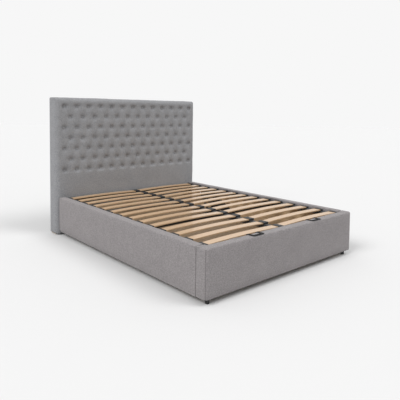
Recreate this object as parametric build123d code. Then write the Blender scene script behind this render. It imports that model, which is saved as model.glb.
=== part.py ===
from build123d import *
from math import atan2, cos, degrees, hypot, pi, radians, sin
import os

# An upholstered ottoman bed: a buttoned headboard, a padded storage base, and a slatted platform
# that two four-bar lifts with gas struts raise at the foot end.
# Millimetres. X runs across the bed, Y from the foot to the headboard, Z up from the floor.

# Whole bed
base_width = 1640.0
base_length = 2080.0
base_bottom = 40.0
rail_height = 321.0
rail_thickness = 60.0
headboard_overhang = 28.0
headboard_height = 1306.0
headboard_thickness = 140.0
overrun = 5.0
touch = 0.05

# Padded rails and foot section
outer_padding = 14.0
inner_padding = 6.0
under_padding = 3.0
end_padding = 3.0
inner_cover_drop = 45.0
return_length = 90.0
seam_gap = 3.0
head_gap = 4.0
rail_edge_radius = 12.0
corner_radius = 16.0
rear_corner_radius = 35.0

# Feet
foot_radius = 17.0
foot_tip_radius = 13.0
foot_inset_x = 55.0
foot_inset_y = 43.0

# Headboard
front_pad = 44.0
side_pad = 14.0
panel_thickness = 9.0
back_cloth_thickness = 1.5
back_cloth_inset = 10.0
headboard_edge_radius = 24.0
headboard_back_radius = 5.0
frame_member = 60.0
cross_rail_low_share = 0.30
cross_rail_high_share = 0.62
glide_height = 4.0
glide_radius = 14.0
glide_inset = 90.0

# Buttons, and the pleats and pillows between them
button_rows = 7
buttons_per_long_row = 13
button_side_border = 36.6
button_row_pitch = 101.3
top_button_drop = 86.0
tuft_margin = 50.0
button_depth = 30.0
pleat_depth = 16.0
pillow_rise = 0.5
tuft_steps_share = (0.0, 0.22, 0.5, 0.78, 1.0)
margin_steps_share = (0.0, 0.45, 1.0)
pleat_sharpness_share = 0.7
margin_fade_share = 0.9
button_radius = 12.5
button_tip_radius = 0.8
button_face_radius = 7.0
button_shoulder = 12.0
button_crown = 6.0
button_sides = 7
button_seat_gap = 1.0

# Storage floor
ledge_lift = 1.0
ledge_height = 11.0
ledge_width = 25.0
floor_panel_thickness = 6.0
floor_gap = 2.0
head_board_thickness = 18.0
head_board_top = 240.0
centre_beam_width = 45.0
centre_beam_height = 25.0
centre_leg_radius = 20.0
centre_leg_shares = (0.17, 0.50, 0.83)

# Corner plates and their bolts
plate_thickness = 3.0
joint_plate_reach = 46.0
joint_plate_height = 80.0
joint_plate_bottom = 110.0
angle_leg_length = 66.0
angle_leg_height = 50.0
angle_bottom = 252.0
bolt_head_radius = 6.5
bolt_head_height = 2.5
bolt_head_sides = 6
bolt_edge_distance = 18.0

# Lift: pivots measured from the platform's head end (along) and from the underside of its tubes (down)
rear_pivot_along = 814.0
rear_pivot_down = 232.0
front_pivot_along = 443.0
front_pivot_down = 31.0
rear_pin_along = 327.0
rear_pin_down = 104.0
front_pin_along = 234.0
front_pin_down = 16.0
strut_apex_angle = 77.5
link_width = 34.0
link_thickness = 3.5
plate_to_link = 4.0
link_to_link = 0.5
link_to_bracket = 1.0
bracket_thickness = 3.5
pin_radius = 5.0
pin_clearance = 0.08
open_pin_clearance = 0.95
pin_head_radius = 9.5
pin_head_height = 2.5
plate_boss_radius = 15.0
plate_hole_radius = 32.0
plate_bolt_shares = (0.25, 0.75)
bracket_bar_start = 110.0
bracket_bar_end = 700.0
bracket_bar_height = 26.0
bracket_boss_radius = 16.0
bracket_tail = 68.0
bracket_bolt_shares = (0.1, 0.7, 0.9)

# Gas strut
cylinder_radius = 11.0
cylinder_wall = 1.5
strut_to_bracket = 2.0
eye_radius = 9.0
eye_width = 12.0
eye_neck = 16.0
cylinder_length = 214.0
gland_length = 8.0
rod_radius = 5.0
rod_clearance = 0.1
piston_length = 10.0
rod_insertion = 141.0
spacer_radius = 8.5
spacer_gap = 0.3

# Slatted platform
tube_size = 30.0
tube_corner = 2.0
tube_top_below_rail = 23.0
head_end_gap = 12.0
foot_end_gap = 12.0
centre_tube_width = 40.0
cross_tube_shares = (0.34, 0.67)
slats_per_side = 14
slat_width = 63.0
slat_thickness = 8.0
slat_bow = 7.0
slat_end_margin = 50.0
cap_wall = 3.0
cap_roof = 1.5
cap_depth = 26.0
cap_height = 15.0
cap_play = 0.6
slat_end_gap = 3.0
rest_block_width = 60.0
rest_block_depth = 44.0
rest_block_height = 50.0
rest_block_offset = 430.0
rest_gap = 0.3

# Pull straps
strap_offset = 333.0
strap_loop_width = 116.0
strap_webbing = 25.0
strap_thickness = 2.0
strap_corner_radius = 18.0
strap_reach = 68.0
strap_lift = 0.3
strap_fold_gap = 0.2
strap_tab_length = 46.0

# Levels and planes that the sizes above give
rail_top = base_bottom + rail_height
total_length = base_length + headboard_thickness
headboard_width = base_width + 2 * headboard_overhang
foot_front = -total_length / 2
headboard_back = total_length / 2
headboard_front = headboard_back - headboard_thickness
rail_outer_x = base_width / 2
rail_inner_x = rail_outer_x - rail_thickness
board_inner_x = rail_inner_x + inner_padding
board_inner_y = foot_front + rail_thickness - inner_padding
rail_start = foot_front + return_length + seam_gap
rail_end = headboard_front - head_gap
tube_top = rail_top - tube_top_below_rail
tube_bottom = tube_top - tube_size
plate_x = board_inner_x - plate_thickness
front_link_x = (plate_x - plate_to_link - link_thickness, plate_x - plate_to_link)
rear_link_x = (front_link_x[0] - link_to_link - link_thickness, front_link_x[0] - link_to_link)
platform_half_width = rear_link_x[0] - link_to_bracket - bracket_thickness
strut_x = platform_half_width - strut_to_bracket - cylinder_radius
platform_head = headboard_front - head_end_gap
platform_foot = foot_front + rail_thickness + foot_end_gap
ledge_bottom = base_bottom + ledge_lift
ledge_top = ledge_bottom + ledge_height
head_board_y = (rail_end - end_padding - head_board_thickness, rail_end - end_padding)


def block(x, y, z):
    """A box between three pairs of low and high values."""
    size = Box(x[1] - x[0], y[1] - y[0], z[1] - z[0], align=(Align.MIN, Align.MIN, Align.MIN))
    return Pos(x[0], y[0], z[0]) * size


def edges_at(shape, axis, x=None, y=None, z=None):
    """The straight edges along an axis whose middles lie at the given places."""
    found = shape.edges().filter_by(axis)
    for name, place in (("X", x), ("Y", y), ("Z", z)):
        if place is not None:
            found = found.filter_by(lambda edge: abs(getattr(edge.center(), name) - place) < touch)
    return found


def both_sides(shape):
    """A piece on the right side of the bed and its mirror image on the left."""
    return [shape, mirror(shape, about=Plane.YZ)]


def save(name, pieces):
    """Writes one sub-part, made of one or more separate solids."""
    solids = [solid for piece in pieces for solid in piece.solids()]
    whole = solids[0] if len(solids) == 1 else Compound(solids)
    export_step(whole, f"parts/{name}.step")


def save_pair(name, shape):
    """Writes the right and the left piece of a pair, each as a sub-part of its own."""
    right, left = both_sides(shape)
    save(f"{name}_right", [right])
    save(f"{name}_left", [left])


# Rails and foot section

def side_rail():
    """The right side rail: its timber board and the padded cover round it."""
    y = (rail_start, rail_end)
    outer = block((rail_inner_x, rail_outer_x), y, (base_bottom, rail_top))
    outer = fillet(edges_at(outer, Axis.X, y=rail_end, z=base_bottom), rear_corner_radius)
    outer = fillet(edges_at(outer, Axis.Y, x=rail_outer_x, z=rail_top), rail_edge_radius)
    board = block(
        (board_inner_x, rail_outer_x - outer_padding),
        (rail_start + end_padding, rail_end - end_padding),
        (base_bottom + under_padding, rail_top - outer_padding),
    )
    lower_rear = edges_at(board, Axis.X, y=rail_end - end_padding, z=base_bottom + under_padding)
    board = fillet(lower_rear, rear_corner_radius - end_padding)
    open_inside = block(
        (rail_inner_x - overrun, board_inner_x),
        (rail_start - overrun, rail_end + overrun),
        (base_bottom - overrun, rail_top - inner_cover_drop),
    )
    return board, outer - board - open_inside


def foot_plan(inset_out, inset_in, end, low, high):
    """A U in plan, open to the head: the foot board with its two short returns."""
    half = rail_outer_x - inset_out
    outer = block((-half, half), (foot_front + inset_out, end), (low, high))
    inner_half = rail_inner_x + inset_in
    inner_y = foot_front + rail_thickness - inset_in
    hollow = block((-inner_half, inner_half), (inner_y, end + overrun), (low - overrun, high + overrun))
    return outer, hollow


def foot_section():
    """The foot board with its returns, and the padded cover that wraps the two corners."""
    end = foot_front + return_length
    outer, hollow = foot_plan(0, 0, end, base_bottom, rail_top)
    outer = fillet(edges_at(outer, Axis.Z, y=foot_front), corner_radius)
    rim = outer.faces().sort_by(Axis.Z)[-1].edges().filter_by(lambda edge: edge.center().Y < end - touch)
    outer = fillet(rim, rail_edge_radius)
    outer = outer - hollow
    low, high = base_bottom + under_padding, rail_top - outer_padding
    solid, inside = foot_plan(outer_padding, inner_padding, end - end_padding, low, high)
    board = solid - inside
    open_inside = block(
        (-board_inner_x, board_inner_x),
        (board_inner_y, end + overrun),
        (base_bottom - overrun, rail_top - inner_cover_drop),
    )
    return board, outer - board - open_inside


def foot_glide():
    """A tapered round foot under the right end of the foot board."""
    place = Pos(rail_outer_x - foot_inset_x, foot_front + foot_inset_y, base_bottom / 2)
    return place * Cone(foot_tip_radius, foot_radius, base_bottom)


# Headboard

top_button_z = headboard_height - top_button_drop
half_pitches = buttons_per_long_row - 1
last_row = button_rows - 1
field_half_width = headboard_width / 2 - button_side_border - tuft_margin
half_pitch = field_half_width / half_pitches
bottom_button_z = top_button_z - last_row * button_row_pitch
tuft_half_width = field_half_width + tuft_margin
tuft_top = top_button_z + tuft_margin
tuft_bottom = bottom_button_z - tuft_margin


def row_columns(row):
    """The columns of one row of buttons, in half pitches from the middle: odd rows have one button less."""
    reach = half_pitches - row % 2
    return list(range(-reach, reach + 1, 2))


def swell(share):
    """How far the cloth has risen out of a pleat: 0 in the pleat and 1 in the middle between two."""
    return (4 * share * (1 - share)) ** pleat_sharpness_share


def tuft_point(column, row):
    """A point of the cloth between the outer buttons, by its place in half pitches and rows."""
    u = swell((column + row) / 2 % 1)
    v = swell((column - row) / 2 % 1)
    depth = button_depth * (1 - u) * (1 - v) + pleat_depth * (u + v - 2 * u * v) - pillow_rise * u * v
    return Vector(column * half_pitch, headboard_front + depth, top_button_z - row * button_row_pitch)


def margin_point(column, row, outward):
    """A point between the outer buttons and the border, where the pleats fade as they run out."""
    edge = tuft_point(column, row)
    fade = (1 - max(abs(share) for share in outward)) ** margin_fade_share
    depth = (edge.Y - headboard_front) * fade
    x = edge.X + outward[0] * tuft_margin
    return Vector(x, headboard_front + depth, edge.Z + outward[1] * tuft_margin)


def triangles(grid):
    """The corners of two flat triangles for each cell of a grid of points."""
    found = []
    for low, high in zip(grid, grid[1:]):
        for k in range(len(low) - 1):
            found += [(low[k], low[k + 1], high[k + 1]), (low[k], high[k + 1], high[k])]
    return found


def in_field(corners):
    """Whether a triangle lies between the outer buttons."""
    x = sum(corner.X for corner in corners) / len(corners)
    z = sum(corner.Z for corner in corners) / len(corners)
    return abs(x) < field_half_width and bottom_button_z < z < top_button_z


def pillows():
    """The pillows between the buttons, cut in half along the four sides of the buttoned field."""
    found = []
    for row in range(button_rows):
        columns = row_columns(row)
        for column in columns[:-1] + [columns[0] - 2, columns[-1]] * (row % 2):
            steps = tuft_steps_share
            grid = [[tuft_point(column + a + b, row + b - a) for a in steps] for b in steps]
            found += triangles(grid if column in columns[:-1] else grid[::-1])
    return [corners for corners in found if in_field(corners)]


def margins():
    """The band between the outer buttons and the flat border, with the pleats that run out to it."""
    found = []
    fades = margin_steps_share
    for row, up in ((0, 1), (last_row, -1)):
        for column in row_columns(row)[:-1]:
            columns = [column + 2 * share for share in tuft_steps_share]
            found += triangles([[margin_point(place, row, (0, up * m)) for place in columns] for m in fades])
        for side in (-1, 1):
            corner = side * half_pitches
            grid = [[margin_point(corner, row, (side * n, up * m)) for n in fades] for m in fades]
            found += triangles(grid)
    for side in (-1, 1):
        for first in range(0, last_row, 2):
            rows = [first + 2 * share for share in tuft_steps_share]
            column = side * half_pitches
            found += triangles([[margin_point(column, row, (side * m, 0)) for row in rows] for m in fades])
    return found


def side_places(low, high):
    """The places of the seams along one side of the field, between two outer buttons, and in its margins."""
    count = round((high - low) / 2)
    inner = [low + 2 * (k + share) for k in range(count) for share in tuft_steps_share[:-1]]
    return inner + [high]


def border_points():
    """The outline of the buttoned field as (x, z), with every corner of the triangles that meet it."""
    reach = [field_half_width + share * tuft_margin for share in margin_steps_share[1:]]
    seams = [place * half_pitch for place in side_places(-half_pitches, half_pitches)]
    xs = [-x for x in reach[::-1]] + seams + reach
    rows = [top_button_z - place * button_row_pitch for place in side_places(0, last_row)]
    above = [top_button_z + share * tuft_margin for share in margin_steps_share[1:]]
    below = [bottom_button_z - share * tuft_margin for share in margin_steps_share[1:]]
    zs = above[::-1] + rows + below
    top = [(x, tuft_top) for x in xs[:-1]]
    right = [(tuft_half_width, z) for z in zs[:-1]]
    bottom = [(x, tuft_bottom) for x in xs[:0:-1]]
    left = [(-tuft_half_width, z) for z in zs[:0:-1]]
    return top + right + bottom + left


def headboard_shell():
    """The outline of the headboard's cover before it is hollowed, with a hole for the buttoned face."""
    half = headboard_width / 2
    outer = block((-half, half), (headboard_front, headboard_back), (glide_height, headboard_height))
    outer = fillet(edges_at(outer, Axis.Y, z=headboard_height), headboard_edge_radius)
    front = outer.faces().sort_by(Axis.Y)[0]
    rim = front.edges().filter_by(lambda edge: edge.center().Z > glide_height + touch)
    return fillet(rim, headboard_edge_radius)


def headboard_upholstery():
    """The cover with its buttoned face sewn in, hollow behind for the frame and the panel."""
    outer = headboard_shell()
    inner_half = headboard_width / 2 - side_pad
    hollow = block(
        (-inner_half, inner_half),
        (headboard_front + front_pad, headboard_back + overrun),
        (glide_height - overrun, headboard_height - side_pad),
    )
    plain = (outer - hollow).solid()
    front = plain.faces().filter_by(Plane.XZ).sort_by(Axis.Y)[0]
    outline = Wire.make_polygon([Vector(x, headboard_front, z) for x, z in border_points()], close=True)
    border = Face(front.outer_wire(), [outline])
    others = [face for face in plain.faces() if not face.is_same(front)]
    sewn = [Face(Wire.make_polygon(corners, close=True)) for corners in pillows() + margins()]
    return Solid(Shell(others + [border] + sewn))


def ring(radius, y):
    """The corners of a many-sided outline across the headboard's depth."""
    angles = [2 * pi * k / button_sides for k in range(button_sides)]
    return [Vector(radius * cos(angle), y, radius * sin(angle)) for angle in angles]


def headboard_buttons():
    """One covered button for each seat: a low crown on a blunt tip that reaches into the fold."""
    tip_y = headboard_front + button_depth - button_seat_gap
    rim_y = tip_y - button_shoulder
    sizes = [(button_tip_radius, tip_y), (button_radius, rim_y), (button_face_radius, rim_y - button_crown)]
    rings = [ring(radius, y) for radius, y in sizes]
    outlines = [rings[0], rings[-1]]
    for low, high in zip(rings, rings[1:]):
        for k in range(button_sides):
            outlines.append([low[k - 1], low[k], high[k], high[k - 1]])
    button = Solid(Shell([Face(Wire.make_polygon(corners, close=True)) for corners in outlines]))
    seats = [tuft_point(column, row) for row in range(button_rows) for column in row_columns(row)]
    return [Pos(seat.X, 0, seat.Z) * button for seat in seats]


def headboard_frame():
    """The stiles, cross rails and panel inside the headboard, and the cloth over its back."""
    panel_front = headboard_front + front_pad
    frame_front = panel_front + panel_thickness
    frame_back = headboard_back - back_cloth_thickness
    half = headboard_width / 2 - side_pad
    top = headboard_height - side_pad
    depth = (frame_front, frame_back)
    stile = block((half - frame_member, half), depth, (glide_height, top))
    low_rail = glide_height + cross_rail_low_share * (top - glide_height)
    high_rail = glide_height + cross_rail_high_share * (top - glide_height)
    levels = [glide_height, low_rail, high_rail, top - frame_member]
    inner = half - frame_member
    rails = [block((-inner, inner), depth, (level, level + frame_member)) for level in levels]
    panel = block((-half, half), (panel_front, frame_front), (glide_height, top))
    cloth_half = half - back_cloth_inset
    cloth_z = (glide_height + back_cloth_inset, top - back_cloth_inset)
    cloth = block((-cloth_half, cloth_half), (frame_back, headboard_back), cloth_z)
    return both_sides(stile), rails, panel, cloth


def headboard_glides():
    """Three flat glides under the headboard's frame."""
    y = headboard_back - headboard_thickness / 2
    glide = Pos(0, y, glide_height / 2) * Cylinder(glide_radius, glide_height)
    side = Pos(headboard_width / 2 - glide_inset, 0, 0) * glide
    return [glide] + both_sides(side)


# Storage floor

def floor_ledges():
    """The battens round the inside of the base that the floor panels lie on."""
    z = (ledge_bottom, ledge_top)
    side = block((board_inner_x - ledge_width, board_inner_x), (board_inner_y, head_board_y[0]), z)
    end_x = (centre_beam_width / 2, board_inner_x - ledge_width)
    foot = block(end_x, (board_inner_y, board_inner_y + ledge_width), z)
    head = block(end_x, (head_board_y[0] - ledge_width, head_board_y[0]), z)
    return side, both_sides(foot), both_sides(head)


def head_board():
    """The board that closes the storage space at the head end."""
    return block((-board_inner_x, board_inner_x), head_board_y, (ledge_bottom, head_board_top))


def centre_support():
    """The beam under the middle of the storage floor, and its round legs."""
    half = centre_beam_width / 2
    low = ledge_top - centre_beam_height
    beam = block((-half, half), (board_inner_y, head_board_y[0]), (low, ledge_top))
    length = head_board_y[0] - board_inner_y
    legs = []
    for share in centre_leg_shares:
        y = board_inner_y + share * length
        legs.append(Pos(0, y, low / 2) * Cylinder(centre_leg_radius, low))
    return beam, legs


def floor_panels():
    """The two right-hand floor panels, head and foot; the left ones mirror them."""
    x = (floor_gap / 2, board_inner_x - floor_gap / 2)
    z = (ledge_top, ledge_top + floor_panel_thickness)
    middle = (board_inner_y + head_board_y[0]) / 2
    foot = block(x, (board_inner_y + floor_gap / 2, middle - floor_gap / 2), z)
    head = block(x, (middle + floor_gap / 2, head_board_y[0] - floor_gap / 2), z)
    return foot, head


# Corner plates

def bolt_head(direction):
    """A low hexagonal head at the origin that stands out along a direction."""
    plane = Plane(origin=(0, 0, 0), z_dir=direction)
    return extrude(plane * RegularPolygon(bolt_head_radius, bolt_head_sides), bolt_head_height)


def joint_plates():
    """The flat plate that joins the foot's return to the right side rail, and its four bolt heads."""
    y = (board_inner_y + floor_gap, rail_start + joint_plate_reach)
    z = (joint_plate_bottom, joint_plate_bottom + joint_plate_height)
    plate = block((plate_x, board_inner_x), y, z)
    heads = []
    for place_y in (y[0] + bolt_edge_distance, y[1] - bolt_edge_distance):
        for place_z in (z[0] + bolt_edge_distance, z[1] - bolt_edge_distance):
            heads.append(Pos(plate_x, place_y, place_z) * bolt_head((-1, 0, 0)))
    return plate, heads


def head_angles():
    """The steel angle that bolts the right side rail to the headboard, and its bolt heads."""
    z = (angle_bottom, angle_bottom + angle_leg_height)
    along = block((plate_x, board_inner_x), (headboard_front - angle_leg_length, headboard_front), z)
    across_x = (board_inner_x - angle_leg_length, board_inner_x)
    across = block(across_x, (headboard_front - plate_thickness, headboard_front), z)
    heads = []
    for place_z in (z[0] + bolt_edge_distance, z[1] - bolt_edge_distance):
        far_y = headboard_front - angle_leg_length + bolt_edge_distance
        far_x = board_inner_x - angle_leg_length + bolt_edge_distance
        heads.append(Pos(plate_x, far_y, place_z) * bolt_head((-1, 0, 0)))
        heads.append(Pos(far_x, headboard_front - plate_thickness, place_z) * bolt_head((0, -1, 0)))
    return along + across, heads


# Lift

def lift_point(along, down):
    """A place in the lift as (y, z)."""
    return (platform_head - along, tube_bottom - down)


rear_pivot = lift_point(rear_pivot_along, rear_pivot_down)
front_pivot = lift_point(front_pivot_along, front_pivot_down)
rear_pin = lift_point(rear_pin_along, rear_pin_down)
front_pin = lift_point(front_pin_along, front_pin_down)


def strut_foot_point():
    """The strut's lower pin, as far from the front pivot as the front pin, so that the strut turns evenly."""
    reach = hypot(front_pin[0] - front_pivot[0], front_pin[1] - front_pivot[1])
    angle = atan2(front_pin[1] - front_pivot[1], front_pin[0] - front_pivot[0]) - radians(strut_apex_angle)
    return (front_pivot[0] + reach * cos(angle), front_pivot[1] + reach * sin(angle))


strut_foot = strut_foot_point()


def side_plane(x):
    """The plane across the bed at x, in which sketches are drawn as (y, z)."""
    return Plane(origin=(x, 0, 0), x_dir=(0, 1, 0), z_dir=(1, 0, 0))


def plate_between(sketch, x):
    """A flat plate from a sketch in (y, z), between two values of x."""
    return extrude(side_plane(x[0]) * sketch, x[1] - x[0])


def disc(place, radius, x):
    """A round solid across the bed at a place in (y, z)."""
    return plate_between(Pos(*place) * Circle(radius), x)


def nut(place, radius, x):
    """A six-sided head or collar across the bed at a place in (y, z)."""
    return plate_between(Pos(*place) * RegularPolygon(radius, bolt_head_sides), x)


def bar_sketch(start, end, width):
    """A flat bar with round ends between two places."""
    length = hypot(end[0] - start[0], end[1] - start[1])
    turn = degrees(atan2(end[1] - start[1], end[0] - start[0]))
    middle = ((start[0] + end[0]) / 2, (start[1] + end[1]) / 2)
    return Pos(*middle) * Rot(0, 0, turn) * SlotCenterToCenter(length, width)


def link(start, end, x, running, tight):
    """A link between two values of x, with a running hole at one end and one for a tight pin at the other."""
    body = plate_between(bar_sketch(start, end, link_width), x)
    reach = (x[0] - overrun, x[1] + overrun)
    return body - disc(start, pin_radius + running, reach) - disc(end, pin_radius + tight, reach)


def lift_plate():
    """The pressed plate on the right rail's inner face, which carries the three fixed pins."""
    corners = [rear_pivot, front_pivot, strut_foot]
    bosses = [edge for place in corners for edge in (Pos(*place) * Circle(plate_boss_radius)).edges()]
    middle = [sum(place[k] for place in corners) / len(corners) for k in range(2)]
    outline = make_hull(bosses) - Pos(*middle) * Circle(plate_hole_radius)
    plate = plate_between(outline, (plate_x, board_inner_x))
    heads = []
    for start, end in zip(corners, corners[1:] + corners[:1]):
        for share in plate_bolt_shares:
            place = (start[0] + share * (end[0] - start[0]), start[1] + share * (end[1] - start[1]))
            heads.append(Pos(plate_x, *place) * bolt_head((-1, 0, 0)))
    return plate, heads


def eye_faces():
    """The two values of x beside a strut's eye, with its side play."""
    return (strut_x - eye_width / 2 - spacer_gap, strut_x + eye_width / 2 + spacer_gap)


def headed_pin(place, head_x, collar_x, end_x):
    """A pin with a head at its inner end and a collar up to its outer end."""
    shaft = disc(place, pin_radius, (head_x, end_x))
    head = nut(place, pin_head_radius, (head_x - pin_head_height, head_x))
    return shaft + head + nut(place, spacer_radius, collar_x)


def fixed_pins():
    """The three pins in the right lift plate; the middle one ends flush, as the rear link passes over it."""
    flush = disc(front_pivot, pin_radius, (front_link_x[0], plate_x))
    flush += nut(front_pivot, spacer_radius, (front_link_x[1] + spacer_gap, plate_x))
    rear_head = rear_link_x[0] - spacer_gap
    eye = eye_faces()
    return [
        headed_pin(rear_pivot, rear_head, (rear_link_x[1] + spacer_gap, plate_x), plate_x),
        flush,
        headed_pin(strut_foot, eye[0], (eye[1], plate_x), plate_x),
    ]


def front_link_pin():
    """The pin in the front link's upper end: it passes the bracket with play and carries the strut's rod."""
    eye = eye_faces()
    return headed_pin(front_pin, eye[0], (eye[1], platform_half_width - spacer_gap), front_link_x[1])


def platform_bracket():
    """The upper bracket, a bar along the platform's tube with a deep lobe for the two moving pins."""
    bar_z = tube_bottom + tube_size / 2
    bar_y = (platform_head - bracket_bar_end, platform_head - bracket_bar_start)
    bar = Pos((bar_y[0] + bar_y[1]) / 2, bar_z) * Rectangle(bar_y[1] - bar_y[0], bracket_bar_height)
    near = (front_pin[0] + bracket_boss_radius, bar_z)
    far = (rear_pin[0] - bracket_tail, bar_z)
    circles = []
    for place, radius in ((front_pin, bracket_boss_radius), (rear_pin, bracket_boss_radius)):
        circles += (Pos(*place) * Circle(radius)).edges()
    for place in (near, far):
        circles += (Pos(*place) * Circle(bracket_bar_height / 2)).edges()
    lobe = make_hull(circles)
    middle = [sum(place[k] for place in (front_pin, rear_pin, far)) / 3 for k in range(2)]
    window = Pos(*middle)
    sketch = bar + lobe - window * Circle(bracket_boss_radius)
    x = (platform_half_width, platform_half_width + bracket_thickness)
    reach = (x[0] - overrun, x[1] + overrun)
    plate = plate_between(sketch, x)
    loose_hole = disc(front_pin, pin_radius + open_pin_clearance, reach)
    return plate - loose_hole - disc(rear_pin, pin_radius, reach)


def rear_link_pin():
    """The pin riveted in the right bracket that the rear link turns on."""
    inner = platform_half_width
    shaft = disc(rear_pin, pin_radius, (inner, rear_link_x[1]))
    head = nut(rear_pin, pin_head_radius, (inner - pin_head_height, inner))
    return shaft + head


def bracket_bolts():
    """The three bolt heads that hold the right bracket to the platform's tube."""
    x = platform_half_width + bracket_thickness
    heads = []
    length = bracket_bar_end - bracket_bar_start
    for share in bracket_bolt_shares:
        y = platform_head - bracket_bar_start - share * length
        heads.append(Pos(x, y, tube_bottom + tube_size / 2) * bolt_head((1, 0, 0)))
    return heads


# Gas strut

def strut_frame():
    """A plane whose first axis runs up the strut from its lower pin."""
    rise = (0, front_pin[0] - strut_foot[0], front_pin[1] - strut_foot[1])
    return Plane(origin=(strut_x, *strut_foot), x_dir=(1, 0, 0), z_dir=rise)


def strut_length():
    """The distance between the strut's pins with the bed shut."""
    return hypot(front_pin[0] - strut_foot[0], front_pin[1] - strut_foot[1])


def along_strut(radius, start, end):
    """A round solid along the strut between two distances from its lower pin."""
    return extrude(strut_frame().offset(start) * Circle(radius), end - start)


def strut_eye(place):
    """A flat eye with a running hole for its pin."""
    x = (strut_x - eye_width / 2, strut_x + eye_width / 2)
    hole = disc(place, pin_radius + pin_clearance, (x[0] - overrun, x[1] + overrun))
    return disc(place, eye_radius, x), hole


def strut_cylinder():
    """The pressure tube with its lower eye, its hollow and the gland at its mouth."""
    eye, hole = strut_eye(strut_foot)
    neck = along_strut(rod_radius, pin_radius, eye_neck + overrun)
    tube = along_strut(cylinder_radius, eye_neck, eye_neck + cylinder_length)
    bore_start = eye_neck + gland_length
    mouth_end = eye_neck + cylinder_length
    bore = along_strut(cylinder_radius - cylinder_wall, bore_start, mouth_end - gland_length)
    mouth = along_strut(rod_radius + rod_clearance, bore_start, mouth_end + overrun)
    return tube + neck + eye - bore - mouth - hole


def strut_rod():
    """The rod with its piston inside the cylinder and its upper eye on the front link's pin."""
    eye, hole = strut_eye(front_pin)
    inner_end = eye_neck + cylinder_length - rod_insertion
    rod = along_strut(rod_radius, inner_end, strut_length() - pin_radius)
    piston_radius = cylinder_radius - cylinder_wall - rod_clearance
    piston = along_strut(piston_radius, inner_end, inner_end + piston_length)
    return rod + piston + eye - hole


# Platform

def tube(x, y):
    """A closed box-section tube, with the edges along it taken off."""
    bar = block(x, y, (tube_bottom, tube_top))
    axis = Axis.Y if y[1] - y[0] > x[1] - x[0] else Axis.X
    return chamfer(bar.edges().filter_by(axis), tube_corner)


def platform_tubes():
    """The welded frame: right side tube, head, foot, centre and cross tubes."""
    inner = platform_half_width - tube_size
    side = tube((inner, platform_half_width), (platform_foot, platform_head))
    head = tube((-inner, inner), (platform_head - tube_size, platform_head))
    foot = tube((-inner, inner), (platform_foot, platform_foot + tube_size))
    centre_y = (platform_foot + tube_size, platform_head - tube_size)
    half = centre_tube_width / 2
    centre = tube((-half, half), centre_y)
    crosses = []
    for share in cross_tube_shares:
        y = centre_y[0] + share * (centre_y[1] - centre_y[0])
        crosses += both_sides(tube((half, inner), (y - tube_size / 2, y + tube_size / 2)))
    return side, head, foot, centre, crosses


def slat_places():
    """The middle of each slat along the bed."""
    start = platform_foot + slat_end_margin
    step = (platform_head - slat_end_margin - start) / (slats_per_side - 1)
    return [start + step * index for index in range(slats_per_side)]


slat_inner_x = cap_wall / 2 + slat_end_gap
slat_outer_x = platform_half_width - cap_wall - slat_end_gap
slat_bottom = tube_top + cap_wall + cap_play


def slat(y):
    """A sprung slat on the right side, bowed upwards between its caps."""
    middle = (slat_inner_x + slat_outer_x) / 2
    low = ThreePointArc(
        (slat_inner_x, slat_bottom), (middle, slat_bottom + slat_bow), (slat_outer_x, slat_bottom)
    )
    high = ThreePointArc(
        (slat_inner_x, slat_bottom + slat_thickness),
        (middle, slat_bottom + slat_bow + slat_thickness),
        (slat_outer_x, slat_bottom + slat_thickness),
    )
    ends = [Line(low @ 0, high @ 0), Line(low @ 1, high @ 1)]
    section = make_face([low, high] + ends)
    plane = Plane(origin=(0, y - slat_width / 2, 0), x_dir=(1, 0, 0), z_dir=(0, -1, 0))
    return extrude(plane * section, -slat_width)


def slat_pocket(x, y):
    """The space that a slat's end takes in its cap."""
    half = slat_width / 2 + cap_play
    return block(x, (y - half, y + half), (tube_top + cap_wall, tube_top + cap_height - cap_roof))


def slat_cap(y):
    """The moulded cap on the right side tube that holds a slat's outer end."""
    half = slat_width / 2 + cap_play + cap_wall
    x = (platform_half_width - cap_depth, platform_half_width)
    cap = block(x, (y - half, y + half), (tube_top, tube_top + cap_height))
    return cap - slat_pocket((x[0] - overrun, x[1] - cap_wall), y)


def centre_cap(y):
    """The double cap on the centre tube that holds two slats end to end."""
    half = slat_width / 2 + cap_play + cap_wall
    cap = block((-cap_depth, cap_depth), (y - half, y + half), (tube_top, tube_top + cap_height))
    inner = cap_wall / 2
    outer = cap_depth + overrun
    return cap - slat_pocket((inner, outer), y) - slat_pocket((-outer, -inner), y)


def rest_blocks():
    """The blocks on the foot board that the shut platform rests on."""
    x = (rest_block_offset - rest_block_width / 2, rest_block_offset + rest_block_width / 2)
    top = tube_bottom - rest_gap
    block_right = block(x, (board_inner_y, board_inner_y + rest_block_depth), (top - rest_block_height, top))
    return both_sides(block_right)


# Pull straps

strap_tab_y = platform_foot - strap_thickness / 2
strap_fold_z = rail_top + strap_lift + strap_thickness / 2


def strap_tab():
    """The sewn-down end of the right pull strap, screwed to the platform's foot tube."""
    x = (strap_offset - strap_loop_width / 2, strap_offset + strap_loop_width / 2)
    y = (strap_tab_y - strap_thickness / 2, strap_tab_y + strap_thickness / 2)
    top = strap_fold_z - strap_fold_gap
    tab = block(x, y, (top - strap_tab_length, top))
    slot_x = (x[0] + strap_webbing, x[1] - strap_webbing)
    tab = tab - block(slot_x, (y[0] - overrun, y[1] + overrun), (tube_top, top + overrun))
    heads = []
    for place_x in (x[0] + strap_webbing / 2, x[1] - strap_webbing / 2):
        z = tube_bottom + tube_size / 2
        heads.append(Pos(place_x, y[0], z) * bolt_head((0, -1, 0)))
    return tab, heads


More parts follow.
